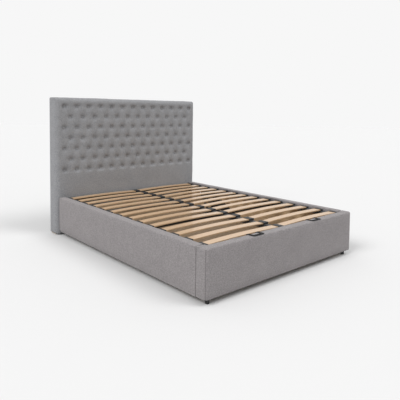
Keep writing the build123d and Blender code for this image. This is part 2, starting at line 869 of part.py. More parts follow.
def strap_loop():
    """The loop of the right pull strap, lying flat over the foot section's top."""
    near = strap_tab_y - strap_thickness / 2 - strap_fold_gap
    far = strap_tab_y - strap_reach
    x = (strap_offset - strap_loop_width / 2, strap_offset + strap_loop_width / 2)
    z = (strap_fold_z - strap_thickness / 2, strap_fold_z + strap_thickness / 2)
    loop = block(x, (far, near), z)
    loop = fillet(edges_at(loop, Axis.Z, y=far), strap_corner_radius)
    hole_x = (x[0] + strap_webbing, x[1] - strap_webbing)
    return loop - block(hole_x, (far + strap_webbing, near + overrun), (z[0] - overrun, z[1] + overrun))


def main():
    """Builds and writes every sub-part."""
    os.makedirs("parts", exist_ok=True)

    rail_board, rail_cover = side_rail()
    save_pair("side_rail_board", rail_board)
    save_pair("side_rail_cover", rail_cover)
    foot_board, foot_cover = foot_section()
    save("foot_board", [foot_board])
    save("foot_cover", [foot_cover])
    save("foot_glides", both_sides(foot_glide()))

    stiles, cross_rails, panel, cloth = headboard_frame()
    save("headboard_stiles", stiles)
    save("headboard_cross_rails", cross_rails)
    save("headboard_panel", [panel])
    save("headboard_back_cloth", [cloth])
    save("headboard_glides", headboard_glides())
    save("headboard_upholstery", [headboard_upholstery()])
    save("headboard_buttons", headboard_buttons())

    side_ledge, foot_ledges, head_ledges = floor_ledges()
    save_pair("floor_ledge", side_ledge)
    save("floor_ledges_end", foot_ledges + head_ledges)
    save("storage_head_board", [head_board()])
    beam, legs = centre_support()
    save("centre_floor_beam", [beam])
    save("centre_legs", legs)
    foot_panel, head_panel = floor_panels()
    save_pair("floor_panel_foot", foot_panel)
    save_pair("floor_panel_head", head_panel)

    joint_plate, joint_heads = joint_plates()
    angle, angle_heads = head_angles()
    plate, plate_heads = lift_plate()
    save("foot_joint_plates", both_sides(joint_plate))
    save("headboard_angles", both_sides(angle))
    save_pair("lift_plate", plate)
    fixings = joint_heads + angle_heads + plate_heads
    save("base_bolts", [piece for head in fixings for piece in both_sides(head)])
    save("lift_plate_pins", [piece for pin in fixed_pins() for piece in both_sides(pin)])
    save("platform_rest_blocks", rest_blocks())

    save_pair("rear_link", link(rear_pivot, rear_pin, rear_link_x, pin_clearance, pin_clearance))
    save_pair("front_link", link(front_pivot, front_pin, front_link_x, pin_clearance, 0))
    save_pair("front_link_pin", front_link_pin())
    save_pair("strut_cylinder", strut_cylinder())
    save_pair("strut_rod", strut_rod())

    side, head, foot, centre, crosses = platform_tubes()
    save_pair("platform_side_tube", side)
    save("platform_head_tube", [head])
    save("platform_foot_tube", [foot])
    save("platform_centre_tube", [centre])
    save("platform_cross_tubes", crosses)
    save_pair("platform_bracket", platform_bracket())
    save("bracket_pins", both_sides(rear_link_pin()))
    slats = [both_sides(slat(y)) for y in slat_places()]
    save("slats_right", [pair[0] for pair in slats])
    save("slats_left", [pair[1] for pair in slats])
    save("slat_end_caps", [piece for y in slat_places() for piece in both_sides(slat_cap(y))])
    save("slat_centre_caps", [centre_cap(y) for y in slat_places()])

    tab, tab_heads = strap_tab()
    save_pair("pull_strap_tab", tab)
    fixings = bracket_bolts() + tab_heads
    save("platform_bolts", [piece for head in fixings for piece in both_sides(head)])
    save_pair("pull_strap_loop", strap_loop())


main()
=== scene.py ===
import logging
import math
from collections.abc import Callable, Iterable, Sequence
from dataclasses import dataclass, field
from enum import Enum

import bmesh
import bpy
from mathutils import Euler, Matrix, Vector, noise


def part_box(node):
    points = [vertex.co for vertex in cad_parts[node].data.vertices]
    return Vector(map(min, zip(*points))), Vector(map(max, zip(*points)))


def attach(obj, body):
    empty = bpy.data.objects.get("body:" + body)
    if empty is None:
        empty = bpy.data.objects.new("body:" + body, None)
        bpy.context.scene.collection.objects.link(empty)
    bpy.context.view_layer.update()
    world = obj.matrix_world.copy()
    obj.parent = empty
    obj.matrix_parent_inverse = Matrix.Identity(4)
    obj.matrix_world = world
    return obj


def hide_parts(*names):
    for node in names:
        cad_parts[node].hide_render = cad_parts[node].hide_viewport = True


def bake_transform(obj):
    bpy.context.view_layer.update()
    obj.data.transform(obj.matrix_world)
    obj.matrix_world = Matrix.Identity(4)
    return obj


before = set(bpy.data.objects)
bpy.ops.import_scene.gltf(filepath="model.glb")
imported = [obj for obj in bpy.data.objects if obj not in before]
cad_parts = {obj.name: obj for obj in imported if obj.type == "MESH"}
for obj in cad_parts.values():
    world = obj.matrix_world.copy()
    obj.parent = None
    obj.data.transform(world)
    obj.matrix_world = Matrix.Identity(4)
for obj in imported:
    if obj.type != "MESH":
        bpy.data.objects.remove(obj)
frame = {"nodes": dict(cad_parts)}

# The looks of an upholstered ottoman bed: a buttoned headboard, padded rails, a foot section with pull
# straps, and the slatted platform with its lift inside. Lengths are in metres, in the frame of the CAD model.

log = logging.getLogger("bed")

Mesh, Vert, Edge, Face = bmesh.types.BMesh, bmesh.types.BMVert, bmesh.types.BMEdge, bmesh.types.BMFace
Thing, Node, Socket = bpy.types.Object, bpy.types.Node, bpy.types.NodeSocket
Colour = tuple[float, float, float]
Pair = tuple[float, float]
EdgeTest = Callable[[Edge], bool]

CLOTH_MAP = "Cloth"
X, Y, Z = 0, 1, 2
# How close, in metres, counts as the same place; how straight a face looks along an axis; and how far the
# noise is set apart on its second axis.
TOUCH = 1e-5
NEAR = 1e-4
FACING = 0.99
WAVE_SKEW = 0.7


# Node trees

class NodeBoard:
    """A node tree with short calls that add nodes and join them."""

    def __init__(self, tree: bpy.types.NodeTree) -> None:
        """Keeps the tree that the nodes go into."""
        self.tree = tree

    def feed(self, sockets: Iterable[Socket], values: Iterable[object]) -> None:
        """Joins sockets to others, or sets their own values.

        Args:
            sockets: the sockets.
            values: a socket or a value for each.
        """
        for socket, value in zip(sockets, values):
            if isinstance(value, Socket):
                self.tree.links.new(value, socket)
            else:
                socket.default_value = value

    def add(self, kind: str, values: dict[str, object] | None = None, **settings: object) -> Node:
        """Adds one node.

        Args:
            kind: the node's type, without the words that all shader nodes start with.
            values: values or sockets for its inputs, by name.
            settings: the node's own settings.

        Returns:
            The new node.
        """
        node = self.tree.nodes.new("ShaderNode" + kind)
        for name, value in settings.items():
            setattr(node, name, value)
        values = values or {}
        self.feed([node.inputs[name] for name in values], values.values())
        return node

    def math(self, operation: str, *values: object) -> Socket:
        """A Math node's result for its values or sockets.

        Args:
            operation: what the node does.
            values: its values or sockets in order.

        Returns:
            The result.
        """
        node = self.add("Math", operation=operation)
        self.feed(node.inputs, values)
        return node.outputs[0]

    def scaled(self, vector: Socket, factor: object) -> Socket:
        """A vector multiplied by three factors, or by one factor or socket.

        Args:
            vector: the vector.
            factor: three factors, one factor or a socket.

        Returns:
            The longer or shorter vector.
        """
        three = isinstance(factor, tuple)
        node = self.add("VectorMath", operation="MULTIPLY" if three else "SCALE")
        self.feed((node.inputs[0], node.inputs[1 if three else "Scale"]), (vector, factor))
        return node.outputs[0]

    def blend(self, factor: object, low: object, high: object) -> Socket:
        """A number between two, by a factor from 0 to 1.

        Args:
            factor: the factor.
            low: the number at 0.
            high: the number at 1.

        Returns:
            The number between.
        """
        node = self.add("Mix", data_type="FLOAT")
        self.feed((node.inputs[0], node.inputs[2], node.inputs[3]), (factor, low, high))
        return node.outputs[0]

    def colour(self, factor: object, low: Colour, high: Colour) -> Socket:
        """A colour between two, by a factor from 0 to 1.

        Args:
            factor: the factor.
            low: the colour at 0.
            high: the colour at 1.

        Returns:
            The colour between.
        """
        node = self.add("Mix", data_type="RGBA")
        self.feed((node.inputs[0], node.inputs[6], node.inputs[7]), (factor, (*low, 1.0), (*high, 1.0)))
        return node.outputs[2]

    def cloud(self, vector: Socket, scale: float = 1.0, detail: float = 3.0, rough: float = 0.55) -> Socket:
        """Soft noise from 0 to 1 at a number of lumps to the metre."""
        values = {"Vector": vector, "Scale": scale, "Detail": detail, "Roughness": rough}
        return self.add("TexNoise", values).outputs[0]

    def remap(
        self, value: Socket, low: float, high: float, to_low: float = 0.0, to_high: float = 1.0,
    ) -> Socket:
        """A value moved from one range into another and held inside it."""
        values = {"Value": value, "From Min": low, "From Max": high, "To Min": to_low, "To Max": to_high}
        return self.add("MapRange", values, clamp=True).outputs[0]

    def bump(self, height: Socket, strength: float, depth: float) -> Socket:
        """A normal from a height."""
        return self.add("Bump", {"Height": height, "Strength": strength, "Distance": depth}).outputs[0]

    def cloth(self) -> Socket:
        """A place on the cloth, in metres along its threads."""
        return self.add("UVMap", uv_map=CLOTH_MAP).outputs[0]

    def solid(self) -> Socket:
        """A place in the piece."""
        return self.add("TexCoord").outputs["Object"]

    def place(self, effect: "Effect", **values: object) -> bpy.types.bpy_prop_collection:
        """Puts a shared group in, with its inputs by name, and gives its outputs."""
        return self.add("Group", values, node_tree=effect.tree()).outputs


@dataclass(frozen=True)
class Effect:
    """A node group that several finishes share: a vector and some numbers go in, numbers come out."""

    name: str
    fill: Callable[..., Sequence[Socket]]
    inputs: dict[str, float]
    outputs: tuple[str, ...]

    def tree(self) -> bpy.types.NodeTree:
        """The group's tree, built at its first use.

        Returns:
            The node group.
        """
        found = bpy.data.node_groups.get(self.name)
        if found:
            return found
        tree = bpy.data.node_groups.new(self.name, "ShaderNodeTree")
        tree.interface.new_socket(name="Vector", in_out="INPUT", socket_type="NodeSocketVector")
        for label, value in self.inputs.items():
            socket = tree.interface.new_socket(name=label, in_out="INPUT", socket_type="NodeSocketFloat")
            socket.default_value = value
        for label in self.outputs:
            tree.interface.new_socket(name=label, in_out="OUTPUT", socket_type="NodeSocketFloat")
        inside, outside = tree.nodes.new("NodeGroupInput"), tree.nodes.new("NodeGroupOutput")
        board = NodeBoard(tree)
        board.feed(outside.inputs, self.fill(board, *inside.outputs[:1 + len(self.inputs)]))
        return tree


def weave(board: NodeBoard, vector: Socket, threads: Socket, slub: Socket) -> Sequence[Socket]:
    """A plain weave of thick and thin threads: a shade for each thread, and the cloth's relief.

    Args:
        board: the group's tree.
        vector: a place on the cloth, in metres.
        threads: the threads to the metre.
        slub: how uneven the threads are, from 0 to 1.

    Returns:
        The shade and the height.
    """
    across = board.scaled(vector, threads)
    parts = board.add("SeparateXYZ", {"Vector": across}).outputs
    warp, weft = (board.math("SINE", board.math("MULTIPLY", part, math.pi)) for part in (parts[0], parts[1]))
    over = board.math("GREATER_THAN", board.math("MULTIPLY", warp, weft), 0.0)
    relief = board.blend(over, board.math("ABSOLUTE", warp), board.math("ABSOLUTE", weft))
    long_threads = board.cloud(board.scaled(across, (0.035, 0.45, 1.0)), detail=2.0)
    cross_threads = board.cloud(board.scaled(across, (0.45, 0.035, 1.0)), detail=2.0)
    slubs = board.math("MULTIPLY", board.math("ADD", long_threads, cross_threads), 0.5)
    flecks = board.cloud(across, 0.22, detail=1.0, rough=0.5)
    shade = board.remap(board.blend(slub, flecks, slubs), 0.30, 0.70)
    thick = board.blend(slub, 1.0, board.remap(slubs, 0.3, 0.7, 0.45, 1.0))
    return shade, board.math("MULTIPLY", relief, thick)


def mottle(board: NodeBoard, vector: Socket, size: Socket) -> Sequence[Socket]:
    """Slow and quick clouding of a dyed or handled surface, as a shade round 0.5.

    Args:
        board: the group's tree.
        vector: a place, in metres.
        size: the lumps to the metre.

    Returns:
        The shade.
    """
    moved = board.scaled(vector, size)
    slow, quick = board.cloud(moved, 0.16, detail=2.0), board.cloud(moved, 2.1, rough=0.7)
    return [board.remap(board.blend(0.85, slow, quick), 0.38, 0.62)]


def timber(board: NodeBoard, vector: Socket, rings: Socket, waviness: Socket) -> Sequence[Socket]:
    """Sawn timber with its grain along the vector's first axis: a shade, and a height for the pores.

    Args:
        board: the group's tree.
        vector: a place, in metres, with its first axis along the grain.
        rings: the growth rings to the metre.
        waviness: how far the rings wander.

    Returns:
        The shade and the height.
    """
    along = board.scaled(vector, (0.07, 1.0, 1.0))
    bent = board.cloud(board.scaled(vector, (1.2, 5.0, 5.0)), detail=2.0)
    parts = board.add("SeparateXYZ", {"Vector": along}).outputs
    turned = board.math("ADD", parts[1], board.math("MULTIPLY", parts[2], 0.8))
    growth = board.math("ADD", board.math("MULTIPLY", turned, rings), board.math("MULTIPLY", bent, waviness))
    late_wood = board.math("POWER", board.math("FRACT", growth), 3.0)
    fibres = board.cloud(along, 900.0, detail=2.0, rough=0.7)
    return board.remap(board.blend(0.55, late_wood, fibres), 0.1, 0.85), fibres


def scuffs(board: NodeBoard, vector: Socket, grain: Socket, marks: Socket) -> Sequence[Socket]:
    """Fine scratches and handling marks: a mask of 1 in a mark, and the skin's small relief.

    Args:
        board: the group's tree.
        vector: a place, in metres.
        grain: the skin's lumps to the metre.
        marks: how strong the marks are, from 0 to 1.

    Returns:
        The mask and the height.
    """
    fine = board.cloud(board.scaled(vector, grain), detail=1.0)
    scratches = board.remap(board.cloud(board.scaled(vector, (40.0, 900.0, 320.0)), detail=1.0), 0.56, 0.66)
    patches = board.remap(board.cloud(vector, 22.0), 0.45, 0.65)
    return board.math("MULTIPLY", board.math("MULTIPLY", scratches, patches), marks), fine


WEAVE = Effect("Plain weave", weave, {"Threads": 650.0, "Slub": 0.5}, ("Shade", "Height"))
MOTTLE = Effect("Mottle", mottle, {"Size": 60.0}, ("Shade",))
TIMBER = Effect("Timber grain", timber, {"Rings": 60.0, "Waviness": 3.0}, ("Shade", "Height"))
SCUFFS = Effect("Scuffs and skin", scuffs, {"Grain": 1800.0, "Marks": 0.3}, ("Mask", "Height"))


# Finishes

class GrainAxis(Enum):
    """The direction of timber's grain, with the turn that brings it onto the pattern's first axis."""

    ACROSS = (0.0, 0.0, 0.0)
    ALONG = (0.0, 0.0, math.pi / 2)
    UPRIGHT = (0.0, math.pi / 2, 0.0)


@dataclass(frozen=True)
class Finish:
    """What every finish has: a name, and a material that it builds once."""

    name: str

    def material(self) -> bpy.types.Material:
        """The finish's material, built at its first use.

        Returns:
            The material.
        """
        found = bpy.data.materials.get(self.name)
        if found:
            return found
        made = bpy.data.materials.new(self.name)
        made.use_nodes = True
        made.node_tree.nodes.clear()
        board = NodeBoard(made.node_tree)
        shader = board.add("BsdfPrincipled", self.dressing(board))
        board.add("OutputMaterial", {"Surface": shader.outputs[0]})
        return made

    def dressing(self, board: NodeBoard) -> dict[str, object]:
        """The shader's inputs by name."""
        raise NotImplementedError


@dataclass(frozen=True)
class WovenFabric(Finish):
    """Linen-look cloth with a heathered thread."""

    dark: Colour
    light: Colour
    threads: float = 620.0
    slub: float = 0.65
    cloud_size: float = 60.0
    cloud_share: float = 0.5
    # How deep into the weave the painted shade reaches, and how dark it makes the colour there.
    pit_depth: float = 0.6
    pit_shade: float = 0.55

    def dressing(self, board: NodeBoard) -> dict[str, object]:
        """Mixes the two thread colours by the weave and by a slow clouding, and paints shade into the pits
        between the threads.

        Args:
            board: the material's tree.

        Returns:
            The shader's inputs by name.
        """
        threads = board.place(WEAVE, Vector=board.cloth(), Threads=self.threads, Slub=self.slub)
        clouds = board.place(MOTTLE, Vector=board.solid(), Size=self.cloud_size)
        # Painted shade: the colour is darkened where the weave lies low, in the pits between the threads.
        painted_pit_shade = board.remap(threads["Height"], 0.0, self.pit_depth, self.pit_shade, 1.0)
        shade = board.blend(self.cloud_share, threads["Shade"], clouds["Shade"])
        return {
            "Base Color": board.colour(board.math("MULTIPLY", shade, painted_pit_shade), self.dark, self.light),
            "Roughness": board.blend(threads["Shade"], 0.96, 0.84),
            "Sheen Weight": 0.12, "Sheen Roughness": 0.45, "Specular IOR Level": 0.25,
            "Normal": board.bump(threads["Height"], strength=0.55, depth=0.0006),
        }


@dataclass(frozen=True)
class LiningCloth(Finish):
    """Thin black spun cloth of pressed fibres."""

    colour: Colour
    paler: float = 2.1
    threads: float = 420.0
    slub: float = 0.2
    cloud_size: float = 140.0

    def dressing(self, board: NodeBoard) -> dict[str, object]:
        """Gives the cloth its pressed dots and loose fibres.

        Args:
            board: the material's tree.

        Returns:
            The shader's inputs by name.
        """
        cloth = board.cloth()
        threads = board.place(WEAVE, Vector=cloth, Threads=self.threads, Slub=self.slub)
        clouds = board.place(MOTTLE, Vector=cloth, Size=self.cloud_size)["Shade"]
        return {
            "Base Color": board.colour(clouds, self.colour, [self.paler * part for part in self.colour]),
            "Roughness": board.blend(clouds, 0.78, 0.92),
            "Normal": board.bump(threads["Height"], strength=0.35, depth=0.0004),
        }


@dataclass(frozen=True)
class Webbing(Finish):
    """Black ribbed strap webbing."""

    colour: Colour
    paler: float = 3.0
    ribs: float = 700.0
    slub: float = 0.15

    def dressing(self, board: NodeBoard) -> dict[str, object]:
        """Lays narrow ribs across the strap, with painted shade in the grooves between them.

        Args:
            board: the material's tree.

        Returns:
            The shader's inputs by name.
        """
        height = board.place(WEAVE, Vector=board.cloth(), Threads=self.ribs, Slub=self.slub)["Height"]
        # Painted shade: the grooves between the ribs are coloured darker than the rib tops.
        return {
            "Base Color": board.colour(height, self.colour, [self.paler * part for part in self.colour]),
            "Roughness": board.blend(height, 0.85, 0.6), "Specular IOR Level": 0.15,
            "Normal": board.bump(height, strength=0.8, depth=0.0006),
        }


@dataclass(frozen=True)
class Timber(Finish):
    """Planed softwood or beech with its grain along one axis."""

    dark: Colour
    light: Colour
    grain: GrainAxis
    rings: float = 55.0
    roughness: float = 0.6
    coat: float = 0.0
    waviness: float = 2.5
    rougher: float = 0.12

    def dressing(self, board: NodeBoard) -> dict[str, object]:
        """Runs the grain along the piece.

        Args:
            board: the material's tree.

        Returns:
            The shader's inputs by name.
        """
        places = {"Vector": board.solid(), "Rotation": self.grain.value}
        turned = board.add("Mapping", places, vector_type="POINT")
        wood = board.place(TIMBER, Vector=turned.outputs[0], Rings=self.rings, Waviness=self.waviness)
        return {
            "Base Color": board.colour(wood["Shade"], self.light, self.dark),
            "Roughness": board.blend(wood["Shade"], self.roughness, self.roughness + self.rougher),
            "Coat Weight": self.coat, "Normal": board.bump(wood["Height"], strength=0.25, depth=0.0004),
        }


@dataclass(frozen=True)
class PressedBoard(Finish):
    """Smooth brown fibre board."""

    dark: Colour
    light: Colour
    cloud_size: float = 220.0
    fibre_count: float = 700.0

    def dressing(self, board: NodeBoard) -> dict[str, object]:
        """Scatters fine fibres over a slow clouding.

        Args:
            board: the material's tree.

        Returns:
            The shader's inputs by name.
        """
        solid = board.solid()
        clouds = board.place(MOTTLE, Vector=solid, Size=self.cloud_size)
        fibres = board.cloud(solid, self.fibre_count, detail=2.0, rough=0.8)
        return {
            "Base Color": board.colour(board.blend(0.5, clouds["Shade"], fibres), self.dark, self.light),
            "Roughness": board.blend(fibres, 0.5, 0.72),
            "Normal": board.bump(fibres, strength=0.12, depth=0.0003),
        }


@dataclass(frozen=True)
class CoatedSteel(Finish):
    """Steel under powder coat or paint."""

    colour: Colour
    worn: Colour
    roughness: float = 0.45
    marks: float = 0.35
    grain: float = 1500.0
    smoother: float = 0.15

    def dressing(self, board: NodeBoard) -> dict[str, object]:
        """Gives the coat its fine skin and a few rubbed marks.

        Args:
            board: the material's tree.

        Returns:
            The shader's inputs by name.
        """
        skin = board.place(SCUFFS, Vector=board.solid(), Grain=self.grain, Marks=self.marks)
        return {
            "Base Color": board.colour(skin["Mask"], self.colour, self.worn),
            "Roughness": board.blend(skin["Mask"], self.roughness, self.roughness - self.smoother),
            "Normal": board.bump(skin["Height"], strength=0.18, depth=0.0002),
        }


@dataclass(frozen=True)
class BareSteel(Finish):
    """Zinc plate or a polished rod."""

    colour: Colour
    roughness: float
    cloudy: float
    dull: float = 0.72
    grain: float = 900.0
    marks: float = 0.6
    rougher: float = 0.2

    def dressing(self, board: NodeBoard) -> dict[str, object]:
        """Varies the gloss of the bare metal.

        Args:
            board: the material's tree.

        Returns:
            The shader's inputs by name.
        """
        skin = board.place(SCUFFS, Vector=board.solid(), Grain=self.grain, Marks=self.marks)
        shade = board.math("MULTIPLY", skin["Height"], self.cloudy)
        return {
            "Base Color": board.colour(shade, self.colour, [self.dull * part for part in self.colour]),
            "Roughness": board.blend(skin["Mask"], self.roughness, self.roughness + self.rougher),
            "Metallic": 1.0,
        }


@dataclass(frozen=True)
class MouldedPlastic(Finish):
    """Black moulded plastic with a fine spark grain."""

    colour: Colour
    roughness: float = 0.48
    paler: float = 0.03
    grain: float = 2200.0
    marks: float = 0.5
    rougher: float = 0.62

    def dressing(self, board: NodeBoard) -> dict[str, object]:
        """Adds the mould's grain and some rubbed places.

        Args:
            board: the material's tree.

        Returns:
            The shader's inputs by name.
        """
        skin = board.place(SCUFFS, Vector=board.solid(), Grain=self.grain, Marks=self.marks)
        pale = [tone + self.paler for tone in self.colour]
        return {
            "Base Color": board.colour(skin["Mask"], self.colour, pale),
            "Roughness": board.blend(skin["Height"], self.roughness, self.rougher),
            "Normal": board.bump(skin["Height"], strength=0.3, depth=0.0002),
        }


RAIL_FABRIC = WovenFabric("Grey linen on the rails", (0.1915, 0.1785, 0.180), (0.400, 0.3725, 0.3755))
# Painted light: the headboard's linen is the rails' cloth painted paler and a little bluer, so that its
# shaded, buttoned front comes out as light as the rails.
HEAD_FABRIC_WITH_PAINTED_LIGHT = WovenFabric("Grey linen on the headboard with painted light", (0.197, 0.198, 0.2055), (0.412, 0.414, 0.4295))
# Painted highlight: the buttons' linen is the headboard's cloth painted paler again, so that the buttons
# stand out light in their shaded dimples.
BUTTON_FABRIC_WITH_PAINTED_LIGHT = WovenFabric("Grey linen on the buttons with painted light", (0.205, 0.206, 0.214), (0.430, 0.432, 0.447), 640.0)
BACK_LINING = LiningCloth("Black lining cloth", (0.018, 0.018, 0.019))
STRAP_WEBBING = Webbing("Black strap webbing", (0.006, 0.006, 0.0065))
SEWING_THREAD = Webbing("Dark sewing thread", (0.03, 0.03, 0.032))
PINE_COLOURS = (0.44, 0.285, 0.155), (0.67, 0.50, 0.315)
PINE_ACROSS = Timber("Pine across the bed", *PINE_COLOURS, GrainAxis.ACROSS)
PINE_ALONG = Timber("Pine along the bed", *PINE_COLOURS, GrainAxis.ALONG)
PINE_UPRIGHT = Timber("Pine upright", *PINE_COLOURS, GrainAxis.UPRIGHT)
BEECH = Timber(
    "Lacquered beech slat", (0.48, 0.30, 0.165), (0.64, 0.445, 0.27), GrainAxis.ACROSS,
    rings=90.0, roughness=0.34, coat=0.35,
)
FLOOR_BOARD = PressedBoard("Brown floor board", (0.29, 0.20, 0.125), (0.44, 0.325, 0.215))
PALE_BOARD = PressedBoard("Pale chip board", (0.42, 0.31, 0.20), (0.58, 0.46, 0.32))
TUBE_COAT = CoatedSteel("Grey powder coat", (0.052, 0.053, 0.056), (0.13, 0.13, 0.135), 0.5)
PLATE_COAT = CoatedSteel("Black powder coat", (0.022, 0.022, 0.024), (0.10, 0.10, 0.105), 0.42)
STRUT_PAINT = CoatedSteel("Black strut paint", (0.012, 0.012, 0.013), (0.05, 0.05, 0.052), 0.3, 0.2)
ROD_STEEL = BareSteel("Polished rod", (0.74, 0.74, 0.75), 0.12, 0.2)
ZINC = BareSteel("Zinc plated steel", (0.60, 0.605, 0.62), 0.34, 0.9)
CAP_PLASTIC = MouldedPlastic("Black cap plastic", (0.016, 0.016, 0.017), 0.5)
FOOT_PLASTIC = MouldedPlastic("Black foot plastic", (0.013, 0.013, 0.014), 0.42)


# Shared mesh work

def finished(name: str, mesh: Mesh, finish: Finish, smooth: bool = True) -> Thing:
    """Makes an object at the origin from a built mesh.

    Args:
        name: the piece's name.
        mesh: the built mesh, which is freed.
        finish: the finish it wears.
        smooth: whether its faces are shaded smooth.

    Returns:
        The new object.
    """
    for face in mesh.faces:
        face.smooth = smooth
    made = place_mesh(name, mesh)
    made.data.materials.append(finish.material())
    return made


def place_mesh(name: str, mesh: Mesh) -> Thing:
    """Puts a mesh into the scene as an object at the origin, and frees it.

    Args:
        name: the piece's name.
        mesh: the built mesh.

    Returns:
        The new object.
    """
    data = bpy.data.meshes.new(name)
    mesh.to_mesh(data)
    mesh.free()
    made = bpy.data.objects.new(name, data)
    bpy.context.scene.collection.objects.link(made)
    return made


def thicken(made: Thing, name: str, thickness: float, offset: float = -1.0) -> None:
    """Gives a piece of cloth or webbing its thickness, inwards unless told otherwise.

    Args:
        made: the piece.
        name: what the wall is called.
        thickness: how thick it gets.
        offset: -1 for all of it inwards, 0 for half on each side.
    """
    wall = made.modifiers.new(name, "SOLIDIFY")
    wall.thickness = thickness
    wall.offset = offset


def wrap_cloth(mesh: Mesh) -> None:
    """Lays the cloth's threads over a mesh in metres, each face along its two widest directions.

    Args:
        mesh: the mesh, with its normals up to date.
    """
    layer = mesh.loops.layers.uv.get(CLOTH_MAP) or mesh.loops.layers.uv.new(CLOTH_MAP)
    for face in mesh.faces:
        size = [abs(part) for part in face.normal]
        first, second = [(Y, Z), (X, Z), (X, Y)][size.index(max(size))]
        for loop in face.loops:
            loop[layer].uv = (loop.vert.co[first], loop.vert.co[second])


def cut(mesh: Mesh, axis: int, places: Iterable[float], outward: int = 0, within: float = 1e-6) -> None:
    """Cuts a mesh across one axis at several places.

    Args:
        mesh: the mesh.
        axis: the axis.
        places: where to cut.
        outward: the side, -1 or 1, that is thrown away, or 0 where both are kept.
        within: how near a point counts as on the cut.
    """
    normal = Vector((0, 0, 0))
    normal[axis] = outward or 1
    for place in places:
        point = Vector((0, 0, 0))
        point[axis] = place
        bmesh.ops.bisect_plane(
            mesh, geom=mesh.verts[:] + mesh.edges[:] + mesh.faces[:], dist=within,
            plane_co=point, plane_no=normal, clear_outer=bool(outward),
        )


def round_edges(mesh: Mesh, rounds: Iterable[tuple[EdgeTest, float, int]]) -> None:
    """Rounds edges: each round has the test that picks them out, the radius and the number of steps.

    Args:
        mesh: the mesh.
        rounds: the rounds, in the order in which they are made.
    """
    for wanted, radius, steps in rounds:
        if radius:
            bmesh.ops.bevel(
                mesh, geom=[edge for edge in mesh.edges if wanted(edge)], offset=radius, offset_type="OFFSET",
                segments=steps, profile=0.5, affect="EDGES", clamp_overlap=True, material=-1,
            )


def unsettle(
    mesh: Mesh, waves: Iterable[tuple[float, float, float]], moves: Callable[[Vector], float],
) -> None:
    """Moves the surface in and out by slow noise, as cloth over foam lies.

    Args:
        mesh: the mesh.
        waves: the largest move of each wave, the distance over which it changes, and an offset of its own.
        moves: how much of the move a place takes, from 0 to 1.
    """
    for amount, size, seed in waves:
        mesh.normal_update()
        shifts = []
        for vert in mesh.verts:
            share = moves(vert.co)
            wave = noise.noise(vert.co / size + Vector((seed, seed * WAVE_SKEW, -seed)))
            shifts.append((vert, vert.normal * (amount * share * wave)))
        for vert, shift in shifts:
            vert.co += shift


def extruded(
    mesh: Mesh, faces: list[Face], step: tuple[float, float, float],
) -> tuple[list[Vert], list[Face]]:
    """Extrudes faces by a step, and gives the moved corners and faces.

    Args:
        mesh: the mesh.
        faces: the faces.
        step: how far the new faces go.

    Returns:
        The moved corners and the new faces.
    """
    made = bmesh.ops.extrude_face_region(mesh, geom=faces)["geom"]
    moved = [part for part in made if isinstance(part, Vert)]
    bmesh.ops.translate(mesh, verts=moved, vec=step)
    return moved, [part for part in made if isinstance(part, Face)]


def spaced(low: float, high: float, step: float) -> list[float]:
    """Places at about one step apart, strictly between two values."""
    count = max(1, round((high - low) / step))
    return [low + (high - low) * k / count for k in range(1, count)]


def eased(share: float) -> float:
    """A share from 0 to 1 that starts and ends gently."""
    return share * share * (3 - 2 * share)


def edge_ends(edge: Edge) -> tuple[Vector, Vector]:
    """The two ends of an edge."""
    return edge.verts[0].co, edge.verts[1].co


def lies_at(edge: Edge, axis: int, place: float) -> bool:
    """Whether both ends of an edge lie at a place along one axis."""
    return all(abs(end[axis] - place) < TOUCH for end in edge_ends(edge))


# Headboard

